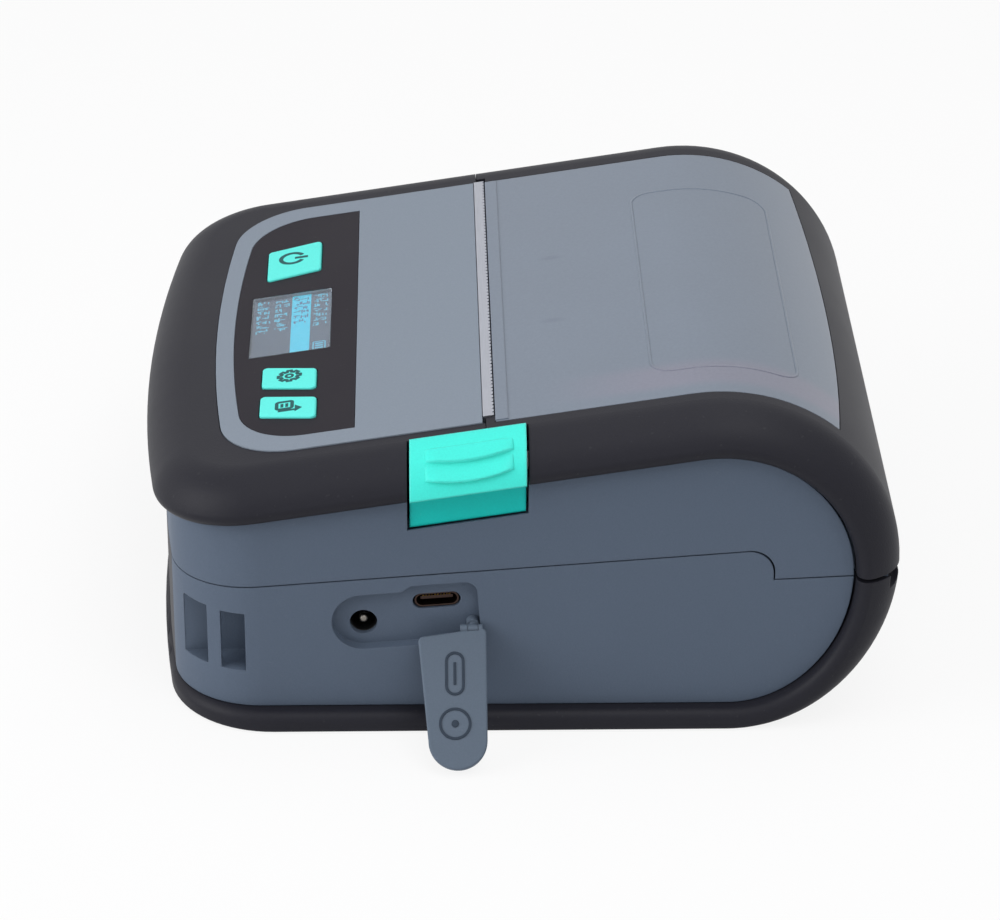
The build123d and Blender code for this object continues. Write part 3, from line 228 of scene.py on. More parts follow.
def noiseNode(tree, coords, scale, detail=2.0, roughness=0.5):
    node = tree.nodes.new("ShaderNodeTexNoise")
    node.inputs["Detail"].default_value = detail
    node.inputs["Roughness"].default_value = roughness
    tree.links.new(coords, node.inputs["Vector"])
    if isinstance(scale, (int, float)):
        node.inputs["Scale"].default_value = scale
    else:
        tree.links.new(scale, node.inputs["Scale"])
    return node.outputs["Fac"]


def ramp(tree, value, low, high):
    # 0 below low, 1 above high, smooth between
    node = tree.nodes.new("ShaderNodeMapRange")
    node.interpolation_type = "SMOOTHSTEP"
    tree.links.new(value, node.inputs["Value"])
    node.inputs["From Min"].default_value = low
    node.inputs["From Max"].default_value = high
    return node.outputs["Result"]


def mixColor(tree, blend, fac, a, b):
    node = tree.nodes.new("ShaderNodeMix")
    node.data_type = "RGBA"
    node.blend_type = blend
    for socket, value in ((node.inputs[0], fac), (node.inputs[6], a), (node.inputs[7], b)):
        if isinstance(value, (int, float, tuple)):
            socket.default_value = value
        else:
            tree.links.new(value, socket)
    return node.outputs[2]


edgeLook = {
    "samples": 6,
    "gain": 4.0,            # how fast a turn of the surface counts as an edge
    "patchScale": 240.0,    # wear comes in patches of about this scale
}


def makeSoftEdges():
    # rounds the light over sharp moulded edges, and says where those edges are
    group, source, out = newGroup(
        "softEdges",
        [("Radius", "NodeSocketFloat", 0.0003), ("Wear", "NodeSocketFloat", 0.5)],
        [("Normal", "NodeSocketVector"), ("Edge", "NodeSocketFloat")],
    )
    bevel = group.nodes.new("ShaderNodeBevel")
    bevel.samples = edgeLook["samples"]
    group.links.new(source.outputs["Radius"], bevel.inputs["Radius"])
    geometry = group.nodes.new("ShaderNodeNewGeometry")
    dot = group.nodes.new("ShaderNodeVectorMath")
    dot.operation = "DOT_PRODUCT"
    group.links.new(bevel.outputs[0], dot.inputs[0])
    group.links.new(geometry.outputs["Normal"], dot.inputs[1])
    turned = mathNode(group, "SUBTRACT", 1.0, dot.outputs["Value"])
    strong = mathNode(group, "MULTIPLY", turned, edgeLook["gain"], clamp=True)
    coords = group.nodes.new("ShaderNodeTexCoord").outputs["Object"]
    patchy = noiseNode(group, coords, edgeLook["patchScale"], 3.0)
    broken = mathNode(group, "MULTIPLY", strong, patchy)
    worn = mathNode(group, "MULTIPLY", broken, source.outputs["Wear"], clamp=True)
    group.links.new(bevel.outputs[0], out.inputs["Normal"])
    group.links.new(worn, out.inputs["Edge"])
    return group


grainLook = {
    "bumpHeight": 0.00006,
    "cloudScale": 34.0,
    "dustScale": 900.0,
    "speck": 0.16,          # how much the pits darken the colour
    "dustFrom": 0.74,
    "dustShare": 0.012,
    "dustColor": (0.6, 0.6, 0.6, 1),
    "edgeColor": (0.05, 0.05, 0.055, 1),
    "cloudRough": 0.12,
    "edgePolish": 0.1,
}


def makeMouldGrain():
    # spark-eroded mould texture: fine pits, faint cloudiness, a little dust
    g = grainLook
    group, source, out = newGroup(
        "mouldGrain",
        [
            ("Color", "NodeSocketColor", (0.5, 0.5, 0.5, 1)),
            ("Grain Scale", "NodeSocketFloat", 2600.0),
            ("Grain Depth", "NodeSocketFloat", 0.5),
            ("Cloud", "NodeSocketFloat", 0.08),
            ("Roughness", "NodeSocketFloat", 0.5),
            ("Edge", "NodeSocketFloat", 0.0),
            ("Normal", "NodeSocketVector", None),
        ],
        [("Color", "NodeSocketColor"), ("Roughness", "NodeSocketFloat"), ("Normal", "NodeSocketVector")],
    )
    coords = group.nodes.new("ShaderNodeTexCoord").outputs["Object"]
    pits = noiseNode(group, coords, source.outputs["Grain Scale"], 2.0, 0.6)
    cloud = noiseNode(group, coords, g["cloudScale"], 4.0)
    dust = noiseNode(group, coords, g["dustScale"], 1.0)
    bump = group.nodes.new("ShaderNodeBump")
    bump.inputs["Distance"].default_value = g["bumpHeight"]
    group.links.new(source.outputs["Grain Depth"], bump.inputs["Strength"])
    group.links.new(pits, bump.inputs["Height"])
    group.links.new(source.outputs["Normal"], bump.inputs["Normal"])
    centred = mathNode(group, "SUBTRACT", cloud, 0.5)
    spread = mathNode(group, "MULTIPLY", centred, source.outputs["Cloud"])
    speck = mathNode(group, "MULTIPLY", mathNode(group, "SUBTRACT", pits, 0.5), g["speck"])
    level = mathNode(group, "ADD", mathNode(group, "ADD", spread, speck), 1.0)
    scaled = group.nodes.new("ShaderNodeVectorMath")
    scaled.operation = "SCALE"
    group.links.new(source.outputs["Color"], scaled.inputs[0])
    group.links.new(level, scaled.inputs["Scale"])
    dustMask = mathNode(group, "GREATER_THAN", dust, g["dustFrom"])
    dustMask = mathNode(group, "MULTIPLY", dustMask, g["dustShare"])
    dusty = mixColor(group, "MIX", dustMask, scaled.outputs[0], g["dustColor"])
    edged = mixColor(group, "ADD", source.outputs["Edge"], dusty, g["edgeColor"])
    uneven = mathNode(group, "MULTIPLY", centred, g["cloudRough"])
    rough = mathNode(group, "ADD", source.outputs["Roughness"], uneven)
    polish = mathNode(group, "MULTIPLY", source.outputs["Edge"], g["edgePolish"])
    polished = mathNode(group, "SUBTRACT", rough, polish, clamp=True)
    group.links.new(edged, out.inputs["Color"])
    group.links.new(polished, out.inputs["Roughness"])
    group.links.new(bump.outputs[0], out.inputs["Normal"])
    return group


brushLook = {
    "stretch": 0.04,        # the lines are this much drawn out over the width
    "lineScale": 5200.0,
    "stainScale": 90.0,
    "bumpHeight": 0.00003,
    "lineShade": 0.25,
    "darkest": 0.86,
    "stainRough": 0.15,
}


def makeBrushedLines():
    # fine drawn lines along the printer's width, for metal
    b = brushLook
    group, source, out = newGroup(
        "brushedLines",
        [
            ("Color", "NodeSocketColor", (0.5, 0.5, 0.5, 1)),
            ("Roughness", "NodeSocketFloat", 0.3),
            ("Depth", "NodeSocketFloat", 0.2),
            ("Normal", "NodeSocketVector", None),
        ],
        [("Color", "NodeSocketColor"), ("Roughness", "NodeSocketFloat"), ("Normal", "NodeSocketVector")],
    )
    coords = group.nodes.new("ShaderNodeTexCoord").outputs["Object"]
    stretch = group.nodes.new("ShaderNodeMapping")
    stretch.inputs["Scale"].default_value = (b["stretch"], 1.0, 1.0)
    group.links.new(coords, stretch.inputs["Vector"])
    lines = noiseNode(group, stretch.outputs[0], b["lineScale"], 2.0)
    stain = noiseNode(group, coords, b["stainScale"], 3.0)
    bump = group.nodes.new("ShaderNodeBump")
    bump.inputs["Distance"].default_value = b["bumpHeight"]
    group.links.new(source.outputs["Depth"], bump.inputs["Strength"])
    group.links.new(lines, bump.inputs["Height"])
    group.links.new(source.outputs["Normal"], bump.inputs["Normal"])
    level = mathNode(group, "ADD", mathNode(group, "MULTIPLY", lines, b["lineShade"]), b["darkest"])
    scaled = group.nodes.new("ShaderNodeVectorMath")
    scaled.operation = "SCALE"
    group.links.new(source.outputs["Color"], scaled.inputs[0])
    group.links.new(level, scaled.inputs["Scale"])
    stained = mathNode(group, "MULTIPLY", stain, b["stainRough"])
    rough = mathNode(group, "ADD", source.outputs["Roughness"], stained)
    group.links.new(scaled.outputs[0], out.inputs["Color"])
    group.links.new(rough, out.inputs["Roughness"])
    group.links.new(bump.outputs[0], out.inputs["Normal"])
    return group


softEdges = makeSoftEdges()
mouldGrain = makeMouldGrain()
brushedLines = makeBrushedLines()
print("shared effects are ready")


# materials
def startMaterial(name):
    material = bpy.data.materials.new(name)
    material.use_nodes = True
    tree = material.node_tree
    return material, tree, tree.nodes["Principled BSDF"]


def placeGroup(tree, group, **values):
    node = tree.nodes.new("ShaderNodeGroup")
    node.node_tree = group
    for label, value in values.items():
        socket = node.inputs[label.replace("_", " ")]
        if isinstance(value, (int, float, tuple)):
            socket.default_value = value
        else:
            tree.links.new(value, socket)
    return node


def srgb(red, green, blue):
    # a colour as read on a screen, 0 to 255, turned into the linear one that shaders use
    steps = []
    for value in (red, green, blue):
        v = value / 255
        steps.append(v / 12.92 if v <= 0.04045 else ((v + 0.055) / 1.055) ** 2.4)
    return (*steps, 1.0)


def wearSkin(tree, shader, skin, sockets):
    # joins a skin group to the shader, and sets the shader's own plain values
    for label, target in (("Color", "Base Color"), ("Roughness", "Roughness"), ("Normal", "Normal")):
        tree.links.new(skin.outputs[label], shader.inputs[target])
    for label, value in sockets.items():
        shader.inputs[label.replace("_", " ")].default_value = value


def mouldedMaterial(
    name, color, rough=0.5, grain=2600.0, depth=0.5, cloud=0.08, radius=0.0003, wear=0.5, **sockets
):
    material, tree, shader = startMaterial(name)
    edges = placeGroup(tree, softEdges, Radius=radius, Wear=wear)
    skin = placeGroup(
        tree,
        mouldGrain,
        Color=color,
        Grain_Scale=grain,
        Grain_Depth=depth,
        Cloud=cloud,
        Roughness=rough,
        Edge=edges.outputs["Edge"],
        Normal=edges.outputs["Normal"],
    )
    wearSkin(tree, shader, skin, sockets)
    return material


def metalMaterial(name, color, rough=0.3, depth=0.25, radius=0.00015, wear=0.3, **sockets):
    material, tree, shader = startMaterial(name)
    edges = placeGroup(tree, softEdges, Radius=radius, Wear=wear)
    skin = placeGroup(
        tree, brushedLines, Color=color, Roughness=rough, Depth=depth, Normal=edges.outputs["Normal"]
    )
    wearSkin(tree, shader, skin, {"Metallic": 1.0, **sockets})
    return material


latchColor = {
    # painted light and shade: the top's colour is lighter for the light falling from above, the skirt's
    # darker for the shade under the lip
    "top": srgb(70, 232, 217),
    "skirt": srgb(0, 192, 184),
    "edge": srgb(150, 246, 236),
    "lip": (0.0572, 0.0580),    # metres above the slope through the origin: the skirt's painted shade ends, the top's painted light begins
    "edgeRadius": 0.0007,
    "wear": 0.6,
}


def makeLatchTeal():
    # the latch: a top painted lighter for the light from above, with pale worn edges, and a skirt painted
    # darker for the shade below its lip
    material, tree, shader = startMaterial("latchTeal")
    coords = tree.nodes.new("ShaderNodeTexCoord").outputs["Object"]
    split = tree.nodes.new("ShaderNodeSeparateXYZ")
    tree.links.new(coords, split.inputs[0])
    level = mathNode(tree, "MULTIPLY", split.outputs["Y"], -math.tan(shape["slope"]))
    level = mathNode(tree, "ADD", level, split.outputs["Z"])
    # painted light and shade: the lit colour on the top, the painted shade on the skirt below the lip
    litTopMask = ramp(tree, level, *latchColor["lip"])
    color = mixColor(tree, "MIX", litTopMask, latchColor["skirt"], latchColor["top"])
    edges = placeGroup(tree, softEdges, Radius=latchColor["edgeRadius"], Wear=latchColor["wear"])
    rim = mathNode(tree, "MULTIPLY", edges.outputs["Edge"], litTopMask)
    color = mixColor(tree, "MIX", rim, color, latchColor["edge"])
    skin = placeGroup(
        tree, mouldGrain, Color=color, Grain_Scale=2600.0, Grain_Depth=0.2, Cloud=0.04,
        Roughness=0.45, Edge=edges.outputs["Edge"], Normal=edges.outputs["Normal"],
    )
    wearSkin(tree, shader, skin, {"Specular IOR Level": 0.2})
    return material


finishes = {
    "darkShell": mouldedMaterial(
        "darkShell", srgb(34, 34, 41), rough=0.5, depth=0.6, cloud=0.10, wear=0.25, Specular_IOR_Level=0.15
    ),
    "greyShell": mouldedMaterial(
        "greyShell", srgb(86, 98, 115), rough=0.58, depth=0.45, cloud=0.06, wear=0.25, Specular_IOR_Level=0.18
    ),
    "panelGrey": mouldedMaterial(
        "panelGrey", srgb(128, 138, 151), rough=0.5, depth=0.3, cloud=0.05, wear=0.2, Specular_IOR_Level=0.2
    ),
    "overlayBlack": mouldedMaterial(
        "overlayBlack", srgb(33, 30, 37), rough=0.5, depth=0.2, wear=0.15, Specular_IOR_Level=0.1
    ),
    "keyTeal": mouldedMaterial(
        "keyTeal", srgb(98, 236, 226), rough=0.5, depth=0.2, cloud=0.04, wear=0.2, Specular_IOR_Level=0.2
    ),
    "latchTeal": makeLatchTeal(),
    "innerBlack": mouldedMaterial("innerBlack", srgb(44, 45, 49), rough=0.5, depth=0.5),
    "chipBlack": mouldedMaterial("chipBlack", srgb(28, 28, 30), rough=0.4, depth=0.3, radius=0.0002),
    "displayBody": mouldedMaterial("displayBody", srgb(40, 41, 44), rough=0.4, depth=0.3),
    "gearNylon": mouldedMaterial("gearNylon", srgb(214, 210, 198), rough=0.38, depth=0.2, radius=0.0001),
    "bearingPlastic": mouldedMaterial(
        "bearingPlastic", srgb(60, 60, 62), rough=0.35, depth=0.2, radius=0.0001
    ),
    "platenRubber": mouldedMaterial("platenRubber", srgb(38, 38, 40), rough=0.62, grain=3600.0, depth=0.6),
    "flapRubber": mouldedMaterial(
        "flapRubber", srgb(93, 105, 120), rough=0.6, depth=0.4, cloud=0.08, Specular_IOR_Level=0.2
    ),
    "batteryWrap": mouldedMaterial("batteryWrap", srgb(58, 62, 70), rough=0.4, depth=0.3),
    "boardGreen": mouldedMaterial(
        "boardGreen", srgb(22, 84, 52), rough=0.35, depth=0.2, cloud=0.3, radius=0.0001
    ),
    "headCeramic": mouldedMaterial("headCeramic", srgb(206, 202, 190), rough=0.25, depth=0.1, radius=0.0001),
    "plateSteel": metalMaterial("plateSteel", srgb(172, 175, 184), rough=0.32),
    "brightSteel": metalMaterial("brightSteel", srgb(190, 191, 194), rough=0.18, depth=0.12),
    "aluminium": metalMaterial("aluminium", srgb(196, 198, 201), rough=0.38),
    "goldContact": metalMaterial("goldContact", srgb(214, 176, 96), rough=0.25),
    "portShell": metalMaterial("portShell", srgb(66, 54, 50), rough=0.35),
    "pinSteel": metalMaterial("pinSteel", srgb(128, 124, 118), rough=0.3),
    "flapSign": mouldedMaterial(
        "flapSign", srgb(52, 62, 75), rough=0.6, depth=0.3, wear=0.2, Specular_IOR_Level=0.15
    ),
}
print("plain finishes:", len(finishes))


window = {
    "smoke": srgb(126, 137, 153),
    "warm": srgb(137, 139, 156),
    "shade": srgb(108, 119, 136),
    "warmAcross": (0.041, 0.046, 0.051, 0.055),     # metres over the width: the warm band comes and goes
    "warmAlong": (0.002, 0.030),
    "shadows": ((-0.0134, 0.0087), (0.0162, 0.0083)),   # two dark places in the bay that show through
    "shadowSize": (0.0016, 0.0036),
    "shadowShare": 0.45,
    "clearness": 0.18,
}


def makeSmokedSheet():
    # the window: a smoked, slightly milky sheet that lets the bay behind it show faintly
    material, tree, shader = startMaterial("smokedSheet")
    coords = tree.nodes.new("ShaderNodeTexCoord").outputs["Object"]
    split = tree.nodes.new("ShaderNodeSeparateXYZ")
    tree.links.new(coords, split.inputs[0])
    across, along = split.outputs["X"], split.outputs["Y"]
    a, b, c, d = window["warmAcross"]
    band = mathNode(tree, "MULTIPLY", ramp(tree, across, a, b), ramp(tree, across, d, c))
    warm = mathNode(tree, "MULTIPLY", band, ramp(tree, along, *window["warmAlong"]))
    color = mixColor(tree, "MIX", warm, window["smoke"], window["warm"])
    wide, long = window["shadowSize"]
    for x, y in window["shadows"]:
        offset = tree.nodes.new("ShaderNodeVectorMath")
        offset.operation = "MULTIPLY_ADD"
        tree.links.new(coords, offset.inputs[0])
        offset.inputs[1].default_value = (1 / wide, 1 / long, 0)
        offset.inputs[2].default_value = (-x / wide, -y / long, 0)
        size = tree.nodes.new("ShaderNodeVectorMath")
        size.operation = "LENGTH"
        tree.links.new(offset.outputs[0], size.inputs[0])
        dark = ramp(tree, size.outputs["Value"], 1.0, 0.1)
        spot = mathNode(tree, "MULTIPLY", dark, window["shadowShare"])
        color = mixColor(tree, "MIX", spot, color, window["shade"])
    edges = placeGroup(tree, softEdges, Radius=0.0003, Wear=0.15)
    skin = placeGroup(
        tree, mouldGrain, Color=color, Grain_Scale=1500.0, Grain_Depth=0.05, Cloud=0.12,
        Roughness=0.32, Edge=edges.outputs["Edge"], Normal=edges.outputs["Normal"],
    )
    plain = {"Transmission Weight": window["clearness"], "Specular IOR Level": 0.35, "IOR": 1.46}
    wearSkin(tree, shader, skin, plain)
    return material


def makeDisplayGlass():
    # clear plastic over the display, with the faintest haze
    material, tree, shader = startMaterial("displayGlass")
    edges = placeGroup(tree, softEdges, Radius=0.0002, Wear=0.1)
    skin = placeGroup(
        tree, mouldGrain, Color=srgb(226, 236, 244), Grain_Scale=1200.0, Grain_Depth=0.02, Cloud=0.05,
        Roughness=0.05, Edge=edges.outputs["Edge"], Normal=edges.outputs["Normal"],
    )
    wearSkin(tree, shader, skin, {"Transmission Weight": 0.95, "IOR": 1.3})
    return material


finishes["smokedSheet"] = makeSmokedSheet()
finishes["displayGlass"] = makeDisplayGlass()

nodeFinish = {
    "greyShell": ["lower_case", "upper_case"],
    "darkShell": ["lower_bumper", "front_cap", "cover_frame", "battery_door"],
    "smokedSheet": ["cover_window"],
    "panelGrey": ["top_panel"],
    "overlayBlack": ["control_overlay"],
    "displayGlass": ["display_glass"],
    "displayBody": ["display_module"],
    "keyTeal": ["power_button", "menu_button", "feed_button"],
    "latchTeal": ["release_latch"],
    "flapRubber": ["port_flap", "flap_tether"],
    "plateSteel": ["tear_bar", "stepper_motor", "print_frame", "case_screws", "latch_hooks"],
    "brightSteel": ["hinge_pin", "head_springs", "latch_spring", "platen_shaft"],
    "aluminium": ["head_heatsink"],
    "headCeramic": ["print_head"],
    "innerBlack": ["roll_bin", "roll_guide_right", "roll_guide_left"],
    "chipBlack": ["button_switches", "paper_sensor", "board_parts", "dc_jack"],
    "boardGreen": ["panel_board", "main_board"],
    "portShell": ["usb_socket"],
    "goldContact": ["battery_contacts"],
    "batteryWrap": ["battery_pack"],
    "bearingPlastic": ["platen_bearings"],
    "platenRubber": ["platen_roller"],
    "gearNylon": ["platen_gear", "idler_gear", "motor_gear", "guide_pinion"],
}


def dressNodes():
    # gives every CAD node its finish
    dressed = set()
    for finish, names in nodeFinish.items():
        for name in names:
            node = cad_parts[name]
            node.data.materials.clear()
            node.data.materials.append(finishes[finish])
            dressed.add(name)
    print("nodes dressed:", len(dressed), "left over:", sorted(set(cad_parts) - dressed))


dressNodes()


# making the added pieces
sharpAngle = math.radians(40)      # edges that turn more than this are rounded


def newPiece(
    name, points, faces, body, finish, place=Matrix.Identity(4), rounding=0.0, smooth=True
):
    # a mesh from points in millimetres, set in a frame, riding on a body of the printer
    mesh = bpy.data.meshes.new(name)
    mesh.from_pydata([place @ (Vector(point) * mm) for point in points], [], faces)
    mesh.validate()
    mesh.materials.append(finishes[finish])
    if smooth:
        mesh.shade_smooth()
    piece = bpy.data.objects.new(name, mesh)
    bpy.context.scene.collection.objects.link(piece)
    if rounding:
        edge = piece.modifiers.new("rounding", "BEVEL")
        edge.width = rounding * mm
        edge.segments = 2
        edge.limit_method = "ANGLE"
        edge.angle_limit = sharpAngle
        edge.harden_normals = True
    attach(piece, body)


def addStroke(points, faces, path, width, low, high, closed=False):
    # a flat-topped line of even width along a path, added to a list of points and faces
    count = len(path)
    first = len(points)
    for i, (x, y) in enumerate(path):
        before = path[i - 1] if closed or i else path[i]
        after = path[(i + 1) % count] if closed or i < count - 1 else path[i]
        dx, dy = after[0] - before[0], after[1] - before[1]
        size = math.hypot(dx, dy)
        nx, ny = -dy / size * width / 2, dx / size * width / 2
        left, right = (x + nx, y + ny), (x - nx, y - ny)
        points += [(*left, low), (*right, low), (*right, high), (*left, high)]
    for i in range(count if closed else count - 1):
        a, b = first + 4 * i, first + 4 * ((i + 1) % count)
        for k in range(4):
            m = (k + 1) % 4
            faces.append((a + k, a + m, b + m, b + k))
    if not closed:
        last = first + 4 * (count - 1)
        faces.append((first, first + 3, first + 2, first + 1))
        faces.append((last, last + 1, last + 2, last + 3))


def addPlate(points, faces, outline, low, high):
    # a flat plate with the given outline, which runs anticlockwise
    count, first = len(outline), len(points)
    points += [(x, y, low) for x, y in outline] + [(x, y, high) for x, y in outline]
    faces.append(tuple(first + count - 1 - i for i in range(count)))
    faces.append(tuple(first + count + i for i in range(count)))
    for i in range(count):
        j = (i + 1) % count
        faces.append((first + i, first + j, first + count + j, first + count + i))


def arcPath(x, y, radius, start, stop, steps):
    # points on an arc between two angles in degrees
    turns = [math.radians(start + (stop - start) * i / steps) for i in range(steps + 1)]
    return [(x + radius * math.cos(turn), y + radius * math.sin(turn)) for turn in turns]


def roundedBox(x0, y0, x1, y1, radius, steps=5):
    # a rectangle's outline with round corners, anticlockwise
    path = []
    for x, y, start in ((x1, y0, -90), (x1, y1, 0), (x0, y1, 90), (x0, y0, 180)):
        inX = x - radius if x == x1 else x + radius
        inY = y - radius if y == y1 else y + radius
        path += arcPath(inX, inY, radius, start, start + 90, steps)
    return path


# release latch: two finger grips that rise and drop away, curved like the real ones
latchGrip = {
    "along": (3.0, 21.0),       # from the latch's front end, up the slope
    "topAngle": 69.0,           # degrees round the shoulder where the first grip starts
    "lines": (                  # the two drops: angle at the front end, the middle and the rear end
        (52.0, 46.0, 52.5),
        (31.0, 24.6, 31.0),
    ),
    "height": 1.05,
    "riseSteps": 8,
    "riseCurve": 1.5,
    "fadeRate": 8,              # an eighth of the length at each end fades out
    "drop": ((0.35, 0.85), (0.8, 0.0)),     # degrees past the crest, and the height left there
    "between": 2.4,             # degrees from a crest to the next grip
    "sunk": 0.02,
    "depth": 0.35,
    "latchFront": -21.8,
    "axisX": 60.0,
    "axisDrop": 10.0,           # how far the shoulder's axis lies below the top
    "radius": 10.6,
    "columns": 36,
}


def latchPoint(along, angle, lift):
    # a place over the latch's rounded top
    g = latchGrip
    turn, slope = math.radians(angle), shape["slope"]
    out = g["radius"] + lift
    base = topHeight(g["latchFront"]) - g["axisDrop"]
    return (
        g["axisX"] + out * math.cos(turn),
        g["latchFront"] + along * math.cos(slope),
        base + out * math.sin(turn) + along * math.sin(slope),
    )


def bowed(ends, share):
    # a curve through three angles: front, middle, rear
    front, middle, rear = ends
    sides = front * (1 - share) * (1 - 2 * share) + middle * 4 * share * (1 - share)
    return sides + rear * share * (2 * share - 1)


def makeLatchGrip():
    # each grip rises slowly down the shoulder, then drops, and both fade out at their ends
    g = latchGrip
    start, stop = g["along"]
    points, faces = [], []
    rows = []
    for i in range(g["columns"] + 1):
        share = i / g["columns"]
        along = start + (stop - start) * share
        fade = max(0.0, min(1.0, g["fadeRate"] * share, g["fadeRate"] * (1 - share))) ** 0.5
        ring = []
        upper = g["topAngle"]
        for ends in g["lines"]:
            lower = bowed(ends, share)
            for k in range(g["riseSteps"] + 1):
                part = k / g["riseSteps"]
                rise = g["height"] * (part ** g["riseCurve"]) * fade - g["sunk"]
                ring.append((upper + (lower - upper) * part, rise))
            for past, left in g["drop"]:
                ring.append((lower - past, g["height"] * left * fade - g["sunk"]))
            upper = lower - g["between"]
        top = [latchPoint(along, angle, lift) for angle, lift in ring]
        bottom = [latchPoint(along, angle, -g["depth"]) for angle, _ in reversed(ring)]
        rows.append(len(points))
        points += top + bottom
    size = len(points) // len(rows)
    for a, b in zip(rows, rows[1:]):
        for k in range(size):
            m = (k + 1) % size
            faces.append((a + k, b + k, b + m, a + m))
    faces.append(tuple(rows[0] + k for k in range(size)))
    faces.append(tuple(rows[-1] + size - 1 - k for k in range(size)))
    newPiece("latchGrip", points, faces, "latch", "latchTeal")


makeLatchGrip()


# key marks: printed in dark ink, a hair above each key
keyMarks = {
    "ink": 0.04,
    "line": 0.95,
    "power": (-30.7, -47.3),
    "menu": (25.4, -46.5),
    "feed": (38.5, -46.5),
    "topLift": 0.6,             # the keys' tops stand this far over the lid's slope
    "ring": 2.5,
    "ringOpen": (118, 422),     # degrees where the ring starts and stops
    "bar": (0.6, 3.5),
    "teeth": 8,
    "tooth": ((-15, 1.75), (-9, 2.35), (9, 2.35), (15, 1.75)),      # degrees from its middle, radius
    "toothLine": 0.85,
    "hub": 0.7,
    "thinLine": 0.6,
    "label": (-1.8, -2.3, 1.2, 0.9),        # its near left and far right corner
    "labelCorner": 0.5,
    "labelLine": 0.75,
    "rules": (-1.2, -0.2),      # two short lines on the label
    "ruleEnds": (-1.0, 0.5),
    "arrow": ((0.1, 1.5), (2.9, 1.5), (1.5, 3.0)),
    "arrowTail": ((2.0, -2.0), (2.0, 1.5)),
    "arrowLine": 0.7,
}
finishes["markInk"] = mouldedMaterial(
    "markInk", srgb(24, 82, 84), depth=0.1, cloud=0.2, radius=0.00005, wear=0.0, Specular_IOR_Level=0.2
)


def makePowerMark():
    # a ring with a bar through its open top
    k = keyMarks
    points, faces = [], []
    addStroke(points, faces, arcPath(0, 0, k["ring"], *k["ringOpen"], 40), k["line"], 0, k["ink"])
    addStroke(points, faces, [(0, y) for y in k["bar"]], k["line"], 0, k["ink"])
    place = lidFrame(*k["power"], k["topLift"])
    newPiece("powerMark", points, faces, "power_key", "markInk", place, smooth=False)


def makeMenuMark():
    # a toothed ring with a hub, for the settings
    k = keyMarks
    points, faces = [], []
    outline = []
    for tooth in range(k["teeth"]):
        middle = tooth * 360 / k["teeth"]
        for turn, radius in k["tooth"]:
            a = math.radians(middle + turn)
            outline.append((radius * math.cos(a), radius * math.sin(a)))
    addStroke(points, faces, outline, k["toothLine"], 0, k["ink"], closed=True)
    addStroke(points, faces, arcPath(0, 0, k["hub"], 0, 345, 23), k["thinLine"], 0, k["ink"], closed=True)
    place = lidFrame(*k["menu"], k["topLift"])
    newPiece("menuMark", points, faces, "menu_key", "markInk", place, smooth=False)


def makeFeedMark():
    # a label leaving a slot, with an arrow
    k = keyMarks
    points, faces = [], []
    label = roundedBox(*k["label"], k["labelCorner"])
    addStroke(points, faces, label, k["labelLine"], 0, k["ink"], closed=True)
    for y in k["rules"]:
        addStroke(points, faces, [(x, y) for x in k["ruleEnds"]], k["thinLine"], 0, k["ink"])
    addPlate(points, faces, k["arrow"], 0, k["ink"])
    addStroke(points, faces, k["arrowTail"], k["arrowLine"], 0, k["ink"])
    place = lidFrame(*k["feed"], k["topLift"])
    newPiece("feedMark", points, faces, "feed_key", "markInk", place, smooth=False)


makePowerMark()
makeMenuMark()
makeFeedMark()
print("latch grips and key marks are made")


# display: a lit list of four rows behind the glass, the third from the front picked out
display = {
    "x": (-13.85, 13.85),
    "y": (-55.25, -38.55),
    "lift": -1.285,
    "rows": ((-54.9, -51.2), (-51.0, -47.2), (-47.0, -42.9), (-42.7, -38.9)),
    "picked": 2,
    "written": (0.58, 0.56, 0.46, 0.52),    # how far along each row its marks run
    "rowMargin": 0.45,
    "startMargin": 0.6,         # clear strip before the first mark
    "markWide": (1.7, 0.3),     # least width of a mark, and how much it varies
    "markGap": 0.35,
    "bars": 9,
    "barLong": (0.7, 0.8),
    "barHalf": 0.14,
    "barSpread": 0.8,           # bars start within this share of the mark's width
    "acrossShare": 0.55,        # this share of the bars runs along the row
    "smallest": 0.05,
    "battery": (4.6, 1.0, 0.2),     # its left and right side from the picture's right side, and its margin
    "batteryLine": 0.3,
    "cell": (0.5, 1.0, 0.6, 0.4),   # where the first one starts, pitch, width, margin
    "layers": (0, 0.02, 0.03, 0.04),    # field, picked row and marks lie on each other
    "patchScale": 900.0,        # the light varies a little from patch to patch
    "patchShade": (0.18, 0.91),     # how much, and the least
    "seed": 7,
}


def litMaterial(name, color, glow):
    # a part of the picture that gives off a little light of its own
    material, tree, shader = startMaterial(name)
    coords = tree.nodes.new("ShaderNodeTexCoord").outputs["Object"]
    vary, least = display["patchShade"]
    uneven = mathNode(tree, "MULTIPLY", noiseNode(tree, coords, display["patchScale"], 2.0), vary)
    level = mathNode(tree, "ADD", uneven, least)
    scaled = tree.nodes.new("ShaderNodeVectorMath")
    scaled.operation = "SCALE"
    scaled.inputs[0].default_value = color[:3]
    tree.links.new(level, scaled.inputs["Scale"])
    tree.links.new(scaled.outputs[0], shader.inputs["Base Color"])
    tree.links.new(scaled.outputs[0], shader.inputs["Emission Color"])
    shader.inputs["Emission Strength"].default_value = glow
    shader.inputs["Roughness"].default_value = 0.4
    return material


finishes["displayDim"] = litMaterial("displayDim", srgb(54, 64, 84), 0.25)
finishes["displayText"] = litMaterial("displayText", srgb(64, 160, 180), 0.6)
finishes["displayPicked"] = litMaterial("displayPicked", srgb(4, 176, 196), 0.6)
finishes["displayInk"] = litMaterial("displayInk", srgb(20, 84, 130), 0.2)


def boxCorners(x0, y0, x1, y1):
    return [(x0, y0), (x1, y0), (x1, y1), (x0, y1)]


